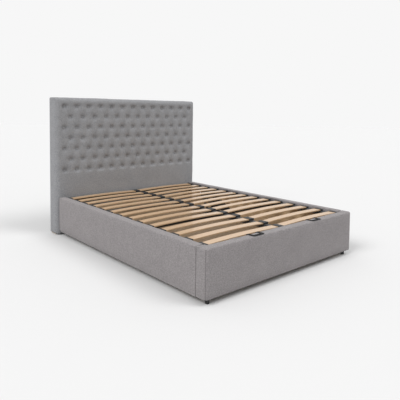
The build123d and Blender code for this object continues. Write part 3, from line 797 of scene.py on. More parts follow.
@dataclass
class ButtonedField:
    """The diamonds of buttons and the depth of the cloth between them."""

    front: float
    top: float = 1.220
    pitch: float = 0.1269
    row_pitch: float = 0.1013
    rows: int = 7
    long_row: int = 13
    margin: float = 0.040
    margin_shares: tuple[float, ...] = (0.10, 0.22, 0.36, 0.52, 0.68, 0.84, 1.0)
    button_depth: float = 0.028
    pleat_depth: float = 0.0038
    pleat_sharpness: float = 0.8
    dimple_reach: float = 0.0225
    dimple_wide: float = 1.22
    dimple_low: float = 0.84
    dimple_round: float = 1.55
    crease: float = 0.0012
    crease_reach: float = 0.030
    creases: int = 7
    crease_swing: tuple[float, float, float] = (5.0, 3.0, 7.0)
    cells: int = 16
    gather: float = 0.5
    half_pitch: float = field(init=False)
    half_width: float = field(init=False)
    bottom: float = field(init=False)
    last_column: int = field(init=False)
    last_row: int = field(init=False)

    def __post_init__(self) -> None:
        """Works out the outer buttons' columns, rows and distances."""
        self.half_pitch = self.pitch / 2
        self.last_column = self.long_row - 1
        self.last_row = self.rows - 1
        self.half_width = self.last_column * self.half_pitch
        self.bottom = self.top - self.last_row * self.row_pitch

    def places(self) -> list[Pair]:
        """The middle of every button as (x, z).

        Returns:
            The places, row by row from the top.
        """
        return [
            (column * self.half_pitch, self.top - row * self.row_pitch) for row in range(self.rows)
            for column in range(row % 2 - self.last_column, self.last_column - row % 2 + 1, 2)
        ]

    def nearest(self, column: float, row: float) -> Pair:
        """The offset, in metres, from the nearest button to a place in half pitches and rows.

        Args:
            column: half pitches from the middle.
            row: rows from the top.

        Returns:
            How far the place lies to the right of the button and below it.
        """
        offsets = []
        for whole_row in (math.floor(row), math.ceil(row)):
            whole_row = min(max(whole_row, 0), self.last_row)
            odd = whole_row % 2
            reach = self.last_column - odd
            whole = min(max(round((column - odd) / 2) * 2 + odd, -reach), reach)
            offsets.append(((column - whole) * self.half_pitch, (row - whole_row) * self.row_pitch))
        return min(offsets, key=lambda offset: math.hypot(*offset))

    def swell(self, share: float) -> float:
        """How far the cloth has risen out of a pleat: 0 in the pleat, 1 in the middle between two."""
        return max(0.0, 4 * share * (1 - share)) ** self.pleat_sharpness

    def depth(self, x: float, z: float) -> float:
        """How far the cloth lies behind the headboard's front, by pleat, dimple and button crease.

        Args:
            x: the place across the bed.
            z: its height.

        Returns:
            The depth in metres.
        """
        column, row = x / self.half_pitch, (self.top - z) / self.row_pitch
        out_x = max(0.0, abs(x) - self.half_width) / self.margin
        out_z = max(0.0, z - self.top, self.bottom - z) / self.margin
        outward = min(1.0, math.hypot(out_x, out_z))
        fade = 1 - eased(outward)
        inner_column = min(max(column, -self.last_column), self.last_column)
        inner_row = min(max(row, 0.0), float(self.last_row))
        u = self.swell((inner_column + inner_row) / 2 % 1)
        v = self.swell((inner_column - inner_row) / 2 % 1)
        pleat = self.pleat_depth * (1 - u * v) * fade
        right, down = self.nearest(column, row)
        distance = math.hypot(right / self.dimple_wide, down / self.dimple_low)
        dimple = math.exp(-((distance / self.dimple_reach) ** self.dimple_round)) * min(1.0, 2 * fade)
        swing, by_x, by_z = self.crease_swing
        folds = math.cos(self.creases * math.atan2(down, right) + swing * math.sin(by_x * x + by_z * z))
        ripple = self.crease * folds * math.exp(-((distance / self.crease_reach) ** 2)) * fade
        return pleat + (self.button_depth - self.pleat_depth) * dimple + ripple

    def warped(self, place: float) -> float:
        """A place in diamonds, moved so that the mesh is finest along the pleats."""
        return place - self.gather * math.sin(2 * math.pi * place) / (2 * math.pi)

    def lines(self, first: int, last: int) -> list[float]:
        """The mesh lines between two whole numbers of diamonds."""
        return [self.warped(first + k / self.cells) for k in range((last - first) * self.cells + 1)]

    def side_lines(self) -> tuple[list[float], list[float]]:
        """The places where the pleats' mesh lines meet the top and the sides of the field.

        Returns:
            The lines across the bed and the lines by height, both rising.
        """
        half = self.last_column // 2
        xs = [2 * place * self.half_pitch for place in self.lines(-half, half)]
        zs = [self.top - 2 * place * self.row_pitch for place in self.lines(0, self.last_row // 2)]
        return xs, zs[::-1]

    def weave_lattice(self, mesh: Mesh) -> None:
        """Adds the mesh between the outer buttons, with its lines along the pleats.

        Args:
            mesh: the mesh of the front, which gets it.
        """
        reach = (self.last_column + self.last_row) // 2
        middle = self.last_row // 2
        count = 2 * reach * self.cells
        grid = bmesh.new()
        bmesh.ops.create_grid(grid, x_segments=count, y_segments=count, size=reach)
        for vert in grid.verts:
            first, second = self.warped(vert.co.x + middle), self.warped(vert.co.y - middle)
            across, down = (first + second) * self.half_pitch, (first - second) * self.row_pitch
            vert.co = (across, self.front, self.top - down)
        for axis, place, outward in (
            (X, self.half_width, 1), (X, -self.half_width, -1), (Z, self.top, 1), (Z, self.bottom, -1),
        ):
            cut(grid, axis, [place], outward, TOUCH)
        self.join(mesh, grid)

    def ruled(self, mesh: Mesh, xs: Sequence[float], zs: Sequence[float]) -> None:
        """Adds a flat grid on the front with its lines at the given places.

        Args:
            mesh: the mesh of the front, which gets it.
            xs: the places across the bed.
            zs: the heights.
        """
        columns, rows = len(xs) - 1, len(zs) - 1
        grid = bmesh.new()
        bmesh.ops.create_grid(grid, x_segments=columns, y_segments=rows, size=0.5)
        for vert in grid.verts:
            column, row = round((vert.co.x + 0.5) * columns), round((vert.co.y + 0.5) * rows)
            vert.co = (xs[column], self.front, zs[row])
        self.join(mesh, grid)

    @staticmethod
    def join(mesh: Mesh, extra: Mesh) -> None:
        """Adds one mesh to another and frees it.

        Args:
            mesh: the mesh that grows.
            extra: the mesh that goes into it.
        """
        data = bpy.data.meshes.new("joined")
        extra.to_mesh(data)
        extra.free()
        mesh.from_mesh(data)
        bpy.data.meshes.remove(data)


@dataclass
class Headboard:
    """The padded headboard: its cover, its buttons, and the lining cloth stapled to its back."""

    nodes: dict[str, Thing]
    edge_radius: float = 0.045
    corner_radius: float = 0.014
    corner_spread: float = 0.35
    corner_lines: tuple[float, ...] = (0.003, 0.0065, 0.010, 0.0137, 0.019, 0.025, 0.032, 0.039)
    foot_radius: float = 0.026
    foot_back_radius: float = 0.010
    back_radius: float = 0.005
    back_rim: float = 0.0137
    turned_cloth: float = 0.034
    turned_step: float = 0.0006
    cloth_thickness: float = 0.0007
    hollow_front: float = 1.0142
    panel_step: float = 0.045
    depth_step: float = 0.03
    weld: float = 3e-5
    still_rim: float = 0.012
    still_side: float = 0.013
    still_depth: float = 0.03
    waves: tuple[tuple[float, float, float], ...] = ((0.0022, 0.16, 3.1), (0.0012, 0.05, 8.4))
    button_outline: tuple[Pair, ...] = (
        (0.0009, 0.0008), (0.0046, 0.0028), (0.0090, 0.0048), (0.0108, 0.0062), (0.0108, 0.0076),
        (0.0094, 0.0095), (0.0064, 0.0108), (0.0031, 0.0114), (0.0, 0.0116),
    )
    button_sides: int = 14
    button_middle: float = 0.006
    button_tilt: float = 0.06
    button_turns: tuple[float, float, float] = (2.3, 0.9, 1.7)
    cloth_cells: tuple[int, int] = (82, 63)
    cloth_gap: float = 0.0001
    cloth_wall: float = 0.0005
    sag: float = 0.005
    sag_reach: float = 0.10
    sag_wave: float = 0.17
    sag_shares: Pair = (0.6, 0.8)
    staple_inset: float = 0.006
    staple_pitch: float = 0.055
    staple_width: float = 0.010
    staple_wire: float = 0.0008
    staple_slant: Pair = (0.12, 1.9)
    plan: ButtonedField = field(init=False)

    def __post_init__(self) -> None:
        """Takes the places of the headboard and of its lining from the CAD model."""
        self.low, self.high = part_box("headboard_upholstery")
        self.cloth_low, self.cloth_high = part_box("headboard_back_cloth")
        self.plan = ButtonedField(front=self.low.y)

    def build(self) -> list[Thing]:
        """Builds the soft pieces of the headboard and the staples behind it."""
        return [self.cover(), self.buttons(), self.lining(), self.staples()]

    def shell(self) -> Mesh:
        """The cover's outline: a rounded block that is hollow behind, where the frame sits.

        Returns:
            The outline.
        """
        mesh = bmesh.new()
        middle = (self.high + self.low) / 2
        matrix = Matrix.Translation(middle) @ Matrix.Diagonal((*(self.high - self.low), 1))
        bmesh.ops.create_cube(mesh, size=1.0, matrix=matrix)
        back = [face for face in mesh.faces if face.normal.y > FACING]
        bmesh.ops.inset_region(mesh, faces=back, thickness=self.back_rim, use_even_offset=True)
        self.push_in(mesh, back, -self.turned_step)
        bmesh.ops.inset_region(mesh, faces=back, thickness=self.turned_cloth, use_even_offset=True)
        inner = self.push_in(mesh, back, -self.cloth_thickness)
        for vert in self.push_in(mesh, back, 0.0):
            vert.co.x += math.copysign(self.turned_cloth, vert.co.x)
            vert.co.z += math.copysign(self.turned_cloth, vert.co.z - middle.z)
        self.push_in(mesh, back, self.hollow_front - inner[0].co.y)
        self.round_outline(mesh)
        return mesh

    @staticmethod
    def push_in(mesh: Mesh, faces: list[Face], step: float) -> list[Vert]:
        """Extrudes faces along the headboard's depth.

        Args:
            mesh: the mesh.
            faces: the faces, whose list then holds the moved ones.
            step: how far they go.

        Returns:
            The moved corners.
        """
        moved, pushed = extruded(mesh, faces, (0, step, 0))
        bmesh.ops.delete(mesh, geom=faces, context="FACES_ONLY")
        faces[:] = pushed
        return moved

    def round_outline(self, mesh: Mesh) -> None:
        """Rounds the front, the lower corners and the back of the outline.

        Args:
            mesh: the outline, whose largest round comes first so that no smaller one limits it.
        """

        def front(edge: Edge) -> bool:
            """Whether an edge bounds the front."""
            return lies_at(edge, Y, self.low.y)

        def back(edge: Edge) -> bool:
            """Whether an edge lies in the plane of the back."""
            return lies_at(edge, Y, self.high.y)

        def foot(edge: Edge) -> bool:
            """Whether an edge lies at the foot of the headboard."""
            return lies_at(edge, Z, self.low.z)

        def rim(edge: Edge) -> bool:
            """Whether an edge lies at a side or on top."""
            places = (X, self.high.x), (X, -self.high.x), (Z, self.high.z)
            return any(lies_at(edge, axis, place) for axis, place in places)

        round_edges(mesh, (
            (lambda edge: front(edge) and not foot(edge), self.edge_radius, 8),
            (lambda edge: foot(edge) and not back(edge), self.foot_radius, 5),
            (lambda edge: foot(edge) and back(edge), self.foot_back_radius, 3),
            (lambda edge: back(edge) and rim(edge), self.back_radius, 2),
        ))

    def round_upper_corners(self, mesh: Mesh) -> None:
        """Rounds the two upper corners, the rounder the further the front's rim bends in.

        Args:
            mesh: the cover, with its rim already bent in.
        """
        for vert in mesh.verts:
            sunk = min(max(self.edge_radius - (vert.co.y - self.low.y), 0.0), self.edge_radius)
            inset = self.edge_radius - math.sqrt(self.edge_radius ** 2 - sunk ** 2)
            radius = self.corner_radius + self.corner_spread * inset
            middle_x, middle_z = self.high.x - inset - radius, self.high.z - inset - radius
            across, up = abs(vert.co.x) - middle_x, vert.co.z - middle_z
            if across > 0 and up > 0:
                share = max(across, up) / math.hypot(across, up)
                vert.co.x = math.copysign(middle_x + across * share, vert.co.x)
                vert.co.z = middle_z + up * share

    def cover(self) -> Thing:
        """The whole upholstered cover with its buttoned front.

        Returns:
            The cover.
        """
        plan = self.plan
        mesh = self.shell()
        xs, zs = plan.side_lines()
        steps = [plan.margin * share for share in plan.margin_shares]
        side = [plan.half_width + step for step in steps]
        above = [plan.top + step for step in steps]
        below = [plan.bottom - step for step in steps[::-1]]
        all_x = [-place for place in side[::-1]] + xs + side
        cut(mesh, X, all_x)
        cut(mesh, Z, below + zs + above)
        cut(mesh, Z, spaced(self.low.z + self.foot_radius, below[0], self.panel_step))
        cut(mesh, Y, spaced(self.low.y + self.edge_radius, self.high.y - self.back_radius, self.depth_step))
        cut(mesh, X, [sign * (self.high.x - step) for sign in (-1, 1) for step in self.corner_lines])
        cut(mesh, Z, [self.high.z - step for step in self.corner_lines])

        def in_field(face: Face) -> bool:
            """Whether a face lies where the buttoned mesh goes.

            Args:
                face: the face.

            Returns:
                True where it does.
            """
            middle = face.calc_center_median()
            on_front = face.normal.y < -FACING and abs(middle.y - plan.front) < TOUCH
            return on_front and abs(middle.x) < side[-1] and below[0] < middle.z < above[-1]

        bmesh.ops.delete(mesh, geom=[face for face in mesh.faces if in_field(face)], context="FACES")
        plan.weave_lattice(mesh)
        plan.ruled(mesh, all_x, [plan.top, *above])
        plan.ruled(mesh, all_x, [*below, plan.bottom])
        plan.ruled(mesh, [plan.half_width, *side], zs)
        plan.ruled(mesh, [-place for place in (*side[::-1], plan.half_width)], zs)
        bmesh.ops.remove_doubles(mesh, verts=mesh.verts[:], dist=self.weld)
        self.round_upper_corners(mesh)
        bmesh.ops.recalc_face_normals(mesh, faces=mesh.faces[:])
        open_edges = sum(1 for edge in mesh.edges if len(edge.link_faces) != 2)
        log.info("headboard cover: %d faces, %d open edges", len(mesh.faces), open_edges)
        wrap_cloth(mesh)
        self.press_pleats(mesh)
        made = finished("headboard_cover", mesh, HEAD_FABRIC_WITH_PAINTED_LIGHT)
        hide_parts("headboard_upholstery")
        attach(made, "base")
        return made

    def press_pleats(self, mesh: Mesh) -> None:
        """Pushes the front in to the buttons and pleats, and lets the rest of the cover lie a little uneven.

        Args:
            mesh: the cover, with its front still flat.
        """
        plan = self.plan
        reach_x = plan.half_width + plan.margin
        low_z, high_z = plan.bottom - plan.margin, plan.top + plan.margin

        def loose(place: Vector) -> float:
            """How freely the cloth moves at a place: not at all in the hollow behind or by the back.

            Args:
                place: the place.

            Returns:
                A share from 0 to 1.
            """
            if place.y > self.high.y - self.still_rim:
                return 0.0
            hollow = abs(place.x) < self.high.x - self.still_side and place.y > plan.front + self.still_depth
            return 0.0 if hollow and place.z < self.high.z - self.still_rim else 1.0

        shifts = [
            (vert, plan.depth(vert.co.x, vert.co.z)) for vert in mesh.verts
            if abs(vert.co.y - plan.front) < TOUCH and abs(vert.co.x) < reach_x and low_z < vert.co.z < high_z
        ]
        unsettle(mesh, self.waves, loose)
        for vert, depth in shifts:
            vert.co.y += depth

    def buttons(self) -> Thing:
        """All the covered buttons, each a low dome with its cloth turned in at the back.

        Returns:
            The buttons, as one piece.
        """
        one = bmesh.new()
        seat = self.plan.front + self.plan.button_depth
        ring = [one.verts.new((radius, seat - rise, 0)) for radius, rise in self.button_outline]
        edges = [one.edges.new(pair) for pair in zip(ring, ring[1:])]
        bmesh.ops.spin(
            one, geom=ring + edges, cent=(0, 0, 0), axis=(0, 1, 0), dvec=(0, 0, 0),
            angle=2 * math.pi, steps=self.button_sides, use_merge=True, use_duplicate=False,
        )
        bmesh.ops.remove_doubles(one, verts=one.verts[:], dist=TOUCH)
        bmesh.ops.holes_fill(one, edges=[edge for edge in one.edges if edge.is_boundary], sides=0)
        bmesh.ops.recalc_face_normals(one, faces=one.faces[:])
        wrap_cloth(one)
        pattern = bpy.data.meshes.new("button")
        one.to_mesh(pattern)
        one.free()
        mesh = bmesh.new()
        middle = Matrix.Translation((0, seat - self.button_middle, 0))
        by_x, by_y, by_z = self.button_turns
        for number, (x, z) in enumerate(self.plan.places()):
            start = len(mesh.verts)
            mesh.from_mesh(pattern)
            mesh.verts.ensure_lookup_table()
            tilt_x, tilt_z = math.sin(number * by_x), math.cos(number * by_z)
            turn = Euler((self.button_tilt * tilt_x, number * by_y, self.button_tilt * tilt_z)).to_matrix()
            matrix = Matrix.Translation((x, 0, z)) @ middle @ turn.to_4x4() @ middle.inverted()
            bmesh.ops.transform(mesh, matrix=matrix, verts=mesh.verts[start:])
        bpy.data.meshes.remove(pattern)
        made = finished("covered_buttons", mesh, BUTTON_FABRIC_WITH_PAINTED_LIGHT)
        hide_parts("headboard_buttons")
        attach(made, "base")
        return made

    def lining(self) -> Thing:
        """The lining cloth stapled over the open back, which sags a little between the timbers.

        Returns:
            The cloth.
        """
        low, high = self.cloth_low, self.cloth_high
        mesh = bmesh.new()
        across, up = high.x - low.x, high.z - low.z
        stiles = self.timber_spans("headboard_stiles", X)
        rails = self.timber_spans("headboard_cross_rails", Z)
        bmesh.ops.create_grid(mesh, x_segments=self.cloth_cells[0], y_segments=self.cloth_cells[1], size=0.5)
        least, most = self.sag_shares
        for vert in mesh.verts:
            x, z = low.x + (vert.co.x + 0.5) * across, low.z + (vert.co.y + 0.5) * up
            place = Vector((x, high.y - self.cloth_gap, z))
            free = min(self.free_from(x, stiles), self.free_from(z, rails), self.sag_reach)
            share = free / self.sag_reach
            wave = least + most * noise.noise(place / self.sag_wave)
            place.y -= self.sag * eased(share) * wave
            vert.co = place
        for face in mesh.faces:
            face.normal_update()
            if face.normal.y < 0:
                face.normal_flip()
        wrap_cloth(mesh)
        made = finished("lining_cloth", mesh, BACK_LINING)
        thicken(made, "cloth thickness", self.cloth_wall)
        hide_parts("headboard_back_cloth")
        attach(made, "base")
        return made

    def timber_spans(self, node: str, axis: int) -> list[Pair]:
        """The low and high ends of each timber of a node along one axis."""
        places = sorted({round(vert.co[axis], 4) for vert in self.nodes[node].data.vertices})
        return list(zip(places[::2], places[1::2]))

    @staticmethod
    def free_from(place: float, spans: list[Pair]) -> float:
        """The distance from a place to the nearest timber, 0 on one."""
        return min(max(low - place, place - high, 0.0) for low, high in spans)

    def staples(self) -> Thing:
        """The wire staples along the edge of the lining cloth.

        Returns:
            The staples, as one piece.
        """
        mesh = bmesh.new()
        x, z = self.cloth_high.x - self.staple_inset, self.cloth_high.z - self.staple_inset
        bottom = self.cloth_low.z + self.staple_inset
        pitch = self.staple_pitch
        places = [(across, level, 0.0) for across in spaced(-x, x, pitch) for level in (bottom, z)]
        places += [(side, level, math.pi / 2) for level in spaced(bottom, z, pitch) for side in (-x, x)]
        size = Matrix.Diagonal((self.staple_width, self.staple_wire, self.staple_wire, 1))
        slant, every = self.staple_slant
        for number, (across, level, turn) in enumerate(places):
            turned = Matrix.Rotation(turn + slant * math.sin(number * every), 4, "Y")
            place = Matrix.Translation((across, self.cloth_high.y, level))
            bmesh.ops.create_cube(mesh, size=1.0, matrix=place @ turned @ size)
        made = finished("lining_staples", mesh, ZINC, smooth=False)
        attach(made, "base")
        return made


# Rails and foot section

@dataclass
class PaddedWall:
    """A cover round a rail board: full outside and on top, and turned down a little way inside."""

    name: str
    node: str
    plan: list[Pair]
    inner: list[Pair]
    tuck: float = 0.006
    drop: float = 0.045
    top_radius: float = 0.012
    lip_radius: float = 0.005
    base_radius: float = 0.005
    corner_radius: float = 0.0
    rear_radius: float = 0.0
    end_radius: float = 0.0035
    crease: float = 0.0055
    crease_width: float = 0.0018
    cell: float = 0.05
    cell_height: float = 0.045
    cell_margin: float = 0.02
    still_base: float = 0.004
    slow_wave: Pair = (0.0016, 0.19)
    quick_wave: Pair = (0.0007, 0.06)
    seed: float = 1.0
    seed_step: float = 4.0
    skin: float = 0.0028

    def __post_init__(self) -> None:
        """Takes the cover's heights and ends from the CAD model and the plan."""
        low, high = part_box(self.node)
        self.bottom, self.top = low.z, high.z
        self.left, self.right = min(x for x, _ in self.plan), max(x for x, _ in self.plan)
        self.front, self.rear = min(y for _, y in self.plan), max(y for _, y in self.plan)

    def inner_walls(self, place: Vector) -> list[tuple[Vector, Vector]]:
        """The inner lines of the plan, as start and end, whose upright plane a place lies on.

        Args:
            place: the place.

        Returns:
            The lines, none for a place on the outside.
        """
        found = []
        for first, second in zip(self.inner, self.inner[1:]):
            start, end = Vector(first), Vector(second)
            along = (end - start).normalized()
            offset = place.xy - start
            distance = abs(offset.x * along.y - offset.y * along.x)
            if distance < NEAR and -NEAR < offset.dot(along) < (end - start).length + NEAR:
                found.append((start, end))
        return found

    def is_inner(self, edge: Edge | Face) -> bool:
        """Whether an edge or a face lies on the inner side, over the storage space."""
        return all(self.inner_walls(vert.co) for vert in edge.verts)

    def prism(self) -> Mesh:
        """The wall's block.

        Returns:
            The block, cut at the height of its turned-down edge.
        """
        mesh = bmesh.new()
        floor = mesh.faces.new([mesh.verts.new((x, y, self.bottom)) for x, y in self.plan])
        extruded(mesh, [floor], (0, 0, self.top - self.bottom))
        bmesh.ops.recalc_face_normals(mesh, faces=mesh.faces[:])
        cut(mesh, Z, [self.top - self.drop])
        return mesh

    def open_inside(self, mesh: Mesh) -> None:
        """Takes away the inner face under the turned-down edge and tucks both edges to the board.

        Args:
            mesh: the wall's block.
        """
        lip = self.top - self.drop
        under_lip = [
            face for face in mesh.faces
            if face.calc_center_median().z < lip and self.is_inner(face) and abs(face.normal.z) < FACING
        ]
        bmesh.ops.delete(mesh, geom=under_lip, context="FACES")
        loose = [edge for edge in mesh.edges if edge.is_boundary and lies_at(edge, Z, lip)]
        made = bmesh.ops.extrude_edge_only(mesh, edges=loose)["geom"]
        tucked = [part for part in made if isinstance(part, Vert)]
        tucked += [
            vert for vert in mesh.verts if abs(vert.co.z - self.bottom) < TOUCH and self.inner_walls(vert.co)
        ]
        for vert in tucked:
            step = Vector((0, 0, 0))
            for start, end in self.inner_walls(vert.co):
                if abs(start.x - end.x) < TOUCH:
                    step.x = math.copysign(self.tuck, start.x)
                else:
                    step.y = -self.tuck
            vert.co += step

    def build(self) -> Thing:
        """Builds, rounds, cuts and dresses the cover.

        Returns:
            The cover.
        """
        mesh = self.prism()
        self.open_inside(mesh)
        self.round_all(mesh)
        margin = self.cell_margin
        cut(mesh, X, spaced(self.left + margin, self.right - margin, self.cell))
        cut(mesh, Y, spaced(self.front + margin, self.rear - margin, self.cell))
        cut(mesh, Z, spaced(self.bottom + self.base_radius, self.top - self.drop, self.cell_height))
        bmesh.ops.remove_doubles(mesh, verts=mesh.verts[:], dist=TOUCH)
        creased = self.corner_lines(mesh) if self.corner_radius else []
        wrap_cloth(mesh)

        def loose(place: Vector) -> float:
            """Only the outside and the top move; the edges at the board stay."""
            return 0.0 if self.inner_walls(place) or place.z < self.bottom + self.still_base else 1.0

        waves = (*self.slow_wave, self.seed), (*self.quick_wave, self.seed + self.seed_step)
        unsettle(mesh, waves, loose)
        for vert, inward in creased:
            vert.co += inward
        made = finished(self.name, mesh, RAIL_FABRIC)
        thicken(made, "cloth and foam", self.skin)
        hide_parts(self.node)
        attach(made, "base")
        return made

    def corner_lines(self, mesh: Mesh) -> list[tuple[Vert, Vector]]:
        """Cuts the line of the seam down each rounded corner.

        Args:
            mesh: the cover.

        Returns:
            The line's points, each with the step by which the seam draws the cloth in.
        """
        found = []
        for side in (-1, 1):
            corner = Vector((side * self.right, self.front, 0))
            inward, across = Vector((-side, 1, 0)).normalized(), Vector((1, side, 0)).normalized()
            for step in (-self.crease_width, self.crease_width, 0.0):
                near = [
                    face for face in mesh.faces
                    if (face.calc_center_median() - corner).xy.length < self.corner_radius
                ]
                parts = dict.fromkeys(part for face in near for part in (*face.verts, *face.edges))
                bmesh.ops.bisect_plane(
                    mesh, geom=near + list(parts), dist=TOUCH, plane_co=corner + across * step,
                    plane_no=across,
                )
            for vert in mesh.verts:
                place = vert.co - corner
                if abs(place.dot(across)) < TOUCH and place.dot(inward) < self.corner_radius:
                    share = min(1.0, (self.top - vert.co.z) / self.top_radius)
                    found.append((vert, inward * (self.crease * share)))
        return found

    def round_all(self, mesh: Mesh) -> None:
        """Rounds every outer edge by its own radius.

        Args:
            mesh: the cover, still with sharp edges.
        """
        corners = [Vector(corner) for corner in self.plan if corner not in self.inner]

        def upright(edge: Edge) -> bool:
            """Whether an edge stands at a front corner of the plan.

            Args:
                edge: the edge.

            Returns:
                True where it does.
            """
            first, second = edge_ends(edge)
            vertical = abs(first.z - second.z) > NEAR and (first - second).xy.length < TOUCH
            at_corner = any((first.xy - corner).length < NEAR for corner in corners)
            return vertical and at_corner and first.y < self.rear - self.corner_radius / 2

        def outside(edge: Edge) -> bool:
            """Whether an edge belongs to the outline and not to the inner lines or the open edges."""
            return not self.is_inner(edge) and not edge.is_boundary

        def at_end(edge: Edge) -> bool:
            """Whether an edge lies at an end that meets a seam or the headboard."""
            return lies_at(edge, Y, self.rear) or (not self.corner_radius and lies_at(edge, Y, self.front))

        round_edges(mesh, (
            (upright, self.corner_radius, 8),
            (lambda edge: lies_at(edge, Z, self.bottom) and lies_at(edge, Y, self.rear), self.rear_radius, 6),
            (lambda edge: lies_at(edge, Z, self.top) and outside(edge), self.top_radius, 4),
            (lambda edge: lies_at(edge, Z, self.top) and self.is_inner(edge), self.lip_radius, 3),
            (lambda edge: lies_at(edge, Z, self.bottom) and outside(edge), self.base_radius, 2),
            (lambda edge: at_end(edge) and outside(edge), self.end_radius, 2),
        ))


@dataclass
class StorageBase:
    """The padded box: two side rails and the foot section that wraps the corners."""

    rail_rear_radius: float = 0.035
    rail_seed: float = 2.0
    foot_corner_radius: float = 0.028
    foot_seed: float = 6.5

    def build(self) -> list[Thing]:
        """Builds the three covers."""
        return [self.rail("left", -1), self.rail("right", 1), self.foot()]

    def rail(self, word: str, side: int) -> Thing:
        """The cover of the left (-1) or right (1) side rail.

        Args:
            word: the side's name.
            side: -1 or 1.

        Returns:
            The cover.
        """
        node = f"side_rail_cover_{word}"
        low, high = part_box(node)
        outer, inner = (high.x, low.x) if side > 0 else (low.x, high.x)
        plan = [(outer, low.y), (outer, high.y), (inner, high.y), (inner, low.y)][::side]
        wall = PaddedWall(
            f"rail_cover_{word}", node, plan, [(inner, low.y), (inner, high.y)],
            rear_radius=self.rail_rear_radius, seed=self.rail_seed + side,
        )
        return wall.build()

    def foot(self) -> Thing:
        """The cover of the foot board and its two short returns.

        Returns:
            The cover.
        """
        low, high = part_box("foot_cover")
        half, inner = high.x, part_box("side_rail_cover_right")[0].x
        inner_y = low.y + (half - inner)
        lips = [(inner, high.y), (inner, inner_y), (-inner, inner_y), (-inner, high.y)]
        wall = PaddedWall(
            "foot_section_cover", "foot_cover",
            [(-half, high.y), (-half, low.y), (half, low.y), (half, high.y), *lips], lips,
            corner_radius=self.foot_corner_radius, seed=self.foot_seed,
        )
        return wall.build()


# Pull straps

